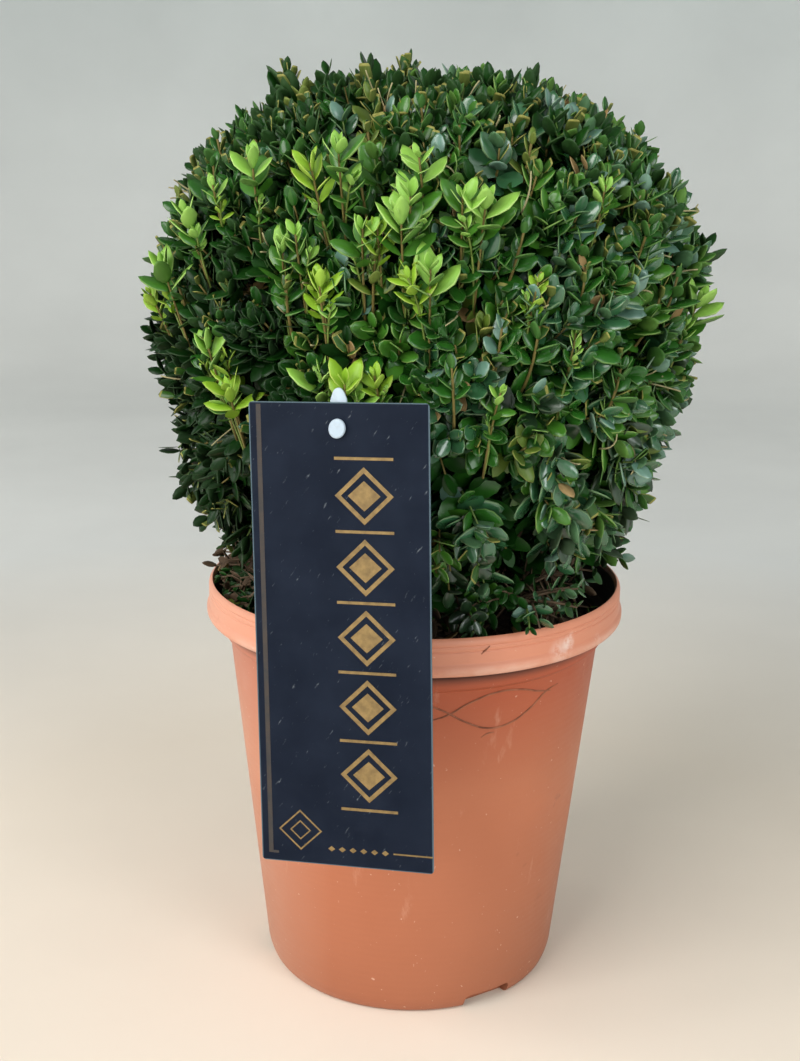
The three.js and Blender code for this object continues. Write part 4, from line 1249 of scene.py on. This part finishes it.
# Bare dead twigs stand about at the foot of the plant and lie on the compost
dead_count = 70
dead = np.arange(dead_count)
dead_turn = chance(dead, 161) * 2 * math.pi
dead_left = dead[:18]
dead_turn[dead_left] = math.pi + mix(-0.5, 0.6, chance(dead_left, 160))
dead_out = around(dead_turn)
dead_heading = unit(dead_out * 0.5 + spin_of(dead, 163) * 1.6 + up * 0.75)
dead_start = dead_out * mix(0.022, 0.072, chance(dead, 162))[:, None] + up * 0.1695
dead_tip = dead_start + dead_heading * mix(0.012, 0.030, chance(dead, 166))[:, None]
dead_course = (dead_start, mix(dead_start, dead_tip, 0.5) + spin_of(dead, 167) * 0.006, dead_tip)


def twigs_along(course, chosen, thick, thin, steps=5, sides=4):
    paths = curves(*[places[chosen] for places in course], steps)
    return tube_block(paths, np.linspace(thick, thin, steps), sides)


# Twigs: green where they are this year's, yellow-brown where they are older
tan_sprig = chance(sprig, 86) < 0.35
skirt_free = has_room(skirt_course[2])
old_skirt = (chance(skirt_key, 86) < 0.7) | stray_left
straw_free = has_room(straw_tip) & has_room(straw_course[0])
twig_kinds = {
    "straw": ((0.36, 0.32, 0.17, 1), 0.7, 0.2, [
        twigs_along(straw_course, straw_free, 0.0004, 0.0003, 6, 4)]),
    "green": ((0.095, 0.15, 0.03, 1), 0.55, 0.35, [
        twigs_along(ball_course, ~tan_sprig, 0.0009, 0.0004),
        twigs_along(skirt_course, ~old_skirt & skirt_free, 0.0008, 0.0004)]),
    "tan": ((0.15, 0.115, 0.03, 1), 0.7, 0.3, [
        twigs_along(ball_course, tan_sprig, 0.0007, 0.0004),
        twigs_along(old_course, old >= 0, 0.00065, 0.0005, 6, 6),
        twigs_along(bright_course, bright_side == 0, 0.00055, 0.0004, 6, 5)]),
    "bright": ((0.14, 0.19, 0.035, 1), 0.5, 0.35, [
        twigs_along(bright_course, bright_side != 0, 0.0005, 0.0004, 6, 5)]),
    "dead": ((0.105, 0.07, 0.043, 1), 0.8, 0.2, [
        twigs_along(dead_course, has_room(dead_tip), 0.0007, 0.0004, 5, 5),
        twigs_along(skirt_course, old_skirt & skirt_free, 0.0008, 0.0004),
        twigs_along(shade_course, has_room(shade_start), 0.0008, 0.0004),
        tube_block(np.array(skirt_stems), [0.0021, 0.0017, 0.0012, 0.0007], 7)]),
}
for name, (colour, roughness, gloss, blocks) in twig_kinds.items():
    twigs_piece = joined_piece(f"{name}_twigs", blocks, Look(f"{name}_twig", colour, roughness, gloss))
    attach(twigs_piece, "root")

# Tag: a stiff laminated card, dark navy with a paler cut edge and a plain gold foil ornament, hung
# on the foliage in front of the pot and scratched white from handling.
tag_corner = 0.0015
hole_drop = 0.0095
hole_radius = 0.0026
hole_seat = Matrix.Translation((0, tag_height / 2 - hole_drop, 0))


def seated(bm, verts, x, y, width, height):
    bmesh.ops.transform(bm, matrix=Matrix.Translation((x, y, 0)) @ scaled(width, height, 1), verts=verts)
    return verts


def bar(bm, x, y, width, height):
    """A flat rectangle as one face."""
    corners = bmesh.ops.create_grid(bm, x_segments=1, y_segments=1, size=0.5)["verts"]
    return seated(bm, corners, x, y, width, height)


def thicken(bm, low, high):
    """Turns flat faces at height 0 into closed plates from low to high."""
    bottom = list(bm.faces)
    if sum(face.normal.z for face in bottom) > 0:
        bmesh.ops.reverse_faces(bm, faces=bottom)
    bmesh.ops.translate(bm, vec=(0, 0, low), verts=list(bm.verts))
    raised_part = bmesh.ops.extrude_face_region(bm, geom=bottom, use_keep_orig=True)["geom"]
    lifted = [item for item in raised_part if isinstance(item, bmesh.types.BMVert)]
    bmesh.ops.translate(bm, vec=(0, 0, high - low), verts=lifted)
    bmesh.ops.recalc_face_normals(bm, faces=bm.faces)


def sharp_edges(bm):
    return [edge for edge in bm.edges if edge.calc_face_angle(0) > 1]


card_mesh = bmesh.new()
bevelled(card_mesh, bar(card_mesh, 0, 0, tag_width, tag_height), tag_corner, 4, "VERTICES")
bmesh.ops.delete(card_mesh, geom=list(card_mesh.faces), context="FACES_ONLY")
bmesh.ops.create_circle(card_mesh, cap_ends=False, segments=24, radius=hole_radius, matrix=hole_seat)
bmesh.ops.triangle_fill(card_mesh, use_beauty=True, use_dissolve=False, edges=list(card_mesh.edges))
for face in card_mesh.faces:
    face.normal_update()
thicken(card_mesh, -tag_thickness / 2, tag_thickness / 2)
card_rims = [
    edge for edge in sharp_edges(card_mesh) if abs(edge.verts[0].co.z - edge.verts[1].co.z) < 1e-6
]
bevelled(card_mesh, card_rims, 0.00012, 2)
card_uv = card_mesh.loops.layers.uv.new("card")
for face in card_mesh.faces:
    for loop in face.loops:
        loop[card_uv].uv = (loop.vert.co.x / tag_width + 0.5, loop.vert.co.y / tag_height + 0.5)
bmesh.ops.transform(card_mesh, matrix=tag_frame, verts=card_mesh.verts)

navy = Look("navy_laminate", (0.006, 0.011, 0.024, 1), 0.4, 0.09, (0.004, 0.0075, 0.017, 1))
card_place = navy.node("UVMap", "UV", {}, uv_map="card")
card_fine = navy.node("Mapping", 0, {"Vector": card_place, "Scale": (69, 180, 1)})
scratch_turned = navy.node("Mapping", 0, {"Vector": card_fine, "Rotation": (0, 0, 0.6)})
scratch_long = navy.node("Mapping", 0, {"Vector": scratch_turned, "Scale": (1, 0.2, 1)})
scratches = navy.patches(0.7, 3, 0.66, 0.76, 0, 0.4, 0.65, scratch_long)
marks = navy.worked("MAXIMUM", scratches, navy.patches(1.2, 3, 0.71, 0.77, 0, 0.5, 0.7, card_fine))
navy.layer(navy.patches(0.05, 3, 0.35, 0.65, place=card_fine), (0.0075, 0.012, 0.024, 1))
navy.layer(marks, (0.3, 0.33, 0.36, 1))
# The clear laminate shows pale where it was trimmed, along the card's edges
card_centred = navy.node("VectorMath", 0, {0: card_place, 1: (0.5, 0.5, 0)}, operation="SUBTRACT")
card_out = navy.node("VectorMath", 0, {0: card_centred}, operation="ABSOLUTE")
card_sides = [navy.node("SeparateXYZ", axis, {0: card_out}) for axis in ("X", "Y")]
across_edge = navy.between(card_sides[0], 0.5 - 0.0006 / tag_width, 0.5 - 0.0003 / tag_width)
along_edge = navy.between(card_sides[1], 0.5 - 0.0005 / tag_height, 0.5 - 0.0002 / tag_height)
navy.layer(navy.worked("MAXIMUM", across_edge, along_edge), (0.085, 0.125, 0.15, 1))
navy.surface({"Roughness": navy.patches(0.25, 5, 0.3, 0.7, 0.32, 0.5, place=card_fine)})
navy.emboss(marks, 0.00003, 0.4)
card = piece_from(card_mesh, "tag_card", navy)
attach(card, "root")
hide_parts("plant_tag")

# Foil: thin gold foil pressed on to the card: a dull border line down its left side, a column of
# plain lozenges and bars, and a small lozenge with a line at the foot.
foil_height = 0.00006
column_x = 0.0095
column_width = 0.0225
column_top = 0.069
column_bottom = -0.066
bar_height = 0.0011
lozenges = 5
foot_y = -tag_height / 2 + 0.0068
border_x = -tag_width / 2 + 0.0038


def lozenge(foil, x, y, width, height, line=None):
    """A diamond, filled, or with an open middle when it is only a line."""
    corners = bmesh.ops.create_circle(foil, cap_ends=True, segments=4, radius=0.5)["verts"]
    seated(foil, corners, x, y, width, height)
    if line:
        middle = [face for face in foil.faces if all(vert in corners for vert in face.verts)]
        bmesh.ops.inset_region(foil, faces=middle, thickness=line, use_boundary=True, use_even_offset=True)
        bmesh.ops.delete(foil, geom=middle, context="FACES")


foil_mesh = bmesh.new()
bar(foil_mesh, 0.0265, foot_y, 0.0155, 0.0006)
step = (column_top - column_bottom) / lozenges
for number in range(lozenges):
    middle = column_top - (number + 0.5) * step
    lozenge(foil_mesh, column_x, middle, column_width, step * 0.8, 0.0016)
    lozenge(foil_mesh, column_x, middle, 0.0125, step * 0.42)
    if number:
        bar(foil_mesh, column_x, middle + step / 2, column_width, bar_height)
bar(foil_mesh, column_x, column_top + 0.0004, column_width, bar_height)
bar(foil_mesh, column_x, column_bottom - 0.0004, column_width, bar_height)
lozenge(foil_mesh, -0.0185, -0.0765, 0.0175, 0.0165, 0.0006)
lozenge(foil_mesh, -0.0185, -0.0765, 0.0085, 0.008, 0.0005)
for number in range(6):
    lozenge(foil_mesh, mix(-0.006, 0.0155, number / 5), foot_y, 0.0028, 0.0022)
border_mesh = bmesh.new()
bar(border_mesh, border_x, 0.0012, 0.0018, tag_height - 0.0042)
bar(border_mesh, border_x + 0.002, -tag_height / 2 + 0.0037, 0.0022, 0.001)
gold = Look("worn_gold_foil", (0.36, 0.22, 0.085, 1), 0.42, 0.5, (0.285, 0.185, 0.068, 1))
gold.surface({"Metallic": 0.45})
gold.layer(gold.patches(350.0, 5, 0.35, 0.7, rough=0.6), (0.165, 0.105, 0.041, 1))
dull_foil = Look("dull_foil", (0.045, 0.037, 0.034, 1), 0.5, 0.2, (0.055, 0.042, 0.036, 1))
dull_foil.layer(dull_foil.patches(260.0, 5, 0.35, 0.7, rough=0.6), (0.035, 0.034, 0.035, 1))
for name, pressed, metal in (("tag_foil", foil_mesh, gold), ("tag_border", border_mesh, dull_foil)):
    thicken(pressed, 0, foil_height)
    bmesh.ops.translate(pressed, vec=(0, 0, tag_thickness / 2), verts=pressed.verts)
    bmesh.ops.transform(pressed, matrix=tag_frame, verts=pressed.verts)
    foil = piece_from(pressed, name, metal)
    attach(foil, "root")

# Tie: a white polythene peg through the card's hole, with a flat head, a strap with a pointed end
# behind the card and a shank pushed into the foliage.
head_width = 0.0064
head_height = 0.0074
head_depth = 0.0018
shank_width = 0.003
shank_length = 0.046
strap_depth = 0.0012
strap_top = hole_drop + 0.0055
tie_face = tag_thickness / 2 + gap

head = bmesh.new()
head_rim = bmesh.ops.create_circle(head, cap_ends=True, segments=32, radius=0.5)["verts"]
head_turned = Matrix.Rotation(math.radians(-12), 4, "Z") @ scaled(head_width, head_height, 1)
bmesh.ops.transform(head, matrix=head_turned, verts=head_rim)
thicken(head, tie_face, tie_face + head_depth)
bevelled(head, sharp_edges(head), 0.0007, 4)
shank = bmesh.new()
shank_corners = bmesh.ops.create_cube(shank, size=1)["verts"]
shank_front = tie_face + 0.0009
shank_seat = Matrix.Translation((0, 0, (shank_front - shank_length) / 2))
shank_size = scaled(shank_width, shank_width, shank_front + shank_length)
bmesh.ops.transform(shank, matrix=shank_seat @ shank_size, verts=shank_corners)
bevelled(shank, list(shank.edges), 0.0005, 3)
strap = bmesh.new()
half = head_width / 2
strap_corners = [(-half, -half), (half, -half), (half, hole_drop + 0.001), (half * 0.6, strap_top - 0.0012),
                 (half * 0.1, strap_top), (-half * 0.55, strap_top - 0.0009), (-half, hole_drop + 0.0006)]
strap.faces.new([strap.verts.new((x, y, 0)) for x, y in strap_corners])
strap.normal_update()
bevelled(strap, list(strap.verts), 0.0009, 4, "VERTICES")
thicken(strap, -tie_face - strap_depth, -tie_face)
bevelled(strap, sharp_edges(strap), 0.0003, 2)
tie_mesh = joined([head, shank, strap])
bmesh.ops.transform(tie_mesh, matrix=tag_frame @ hole_seat, verts=tie_mesh.verts)
polythene = Look("white_polythene", (0.5, 0.57, 0.63, 1), 0.42, 0.5, (0.41, 0.49, 0.57, 1))
polythene.layer(polythene.patches(500.0, 4, 0.5, 0.75, 0, 0.35), (0.31, 0.35, 0.38, 1))
tie = piece_from(tie_mesh, "tie_peg", polythene)
tie.data.shade_smooth()
tie.data.set_sharp_from_angle(angle=math.radians(50))
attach(tie, "root")
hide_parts("tag_tie")
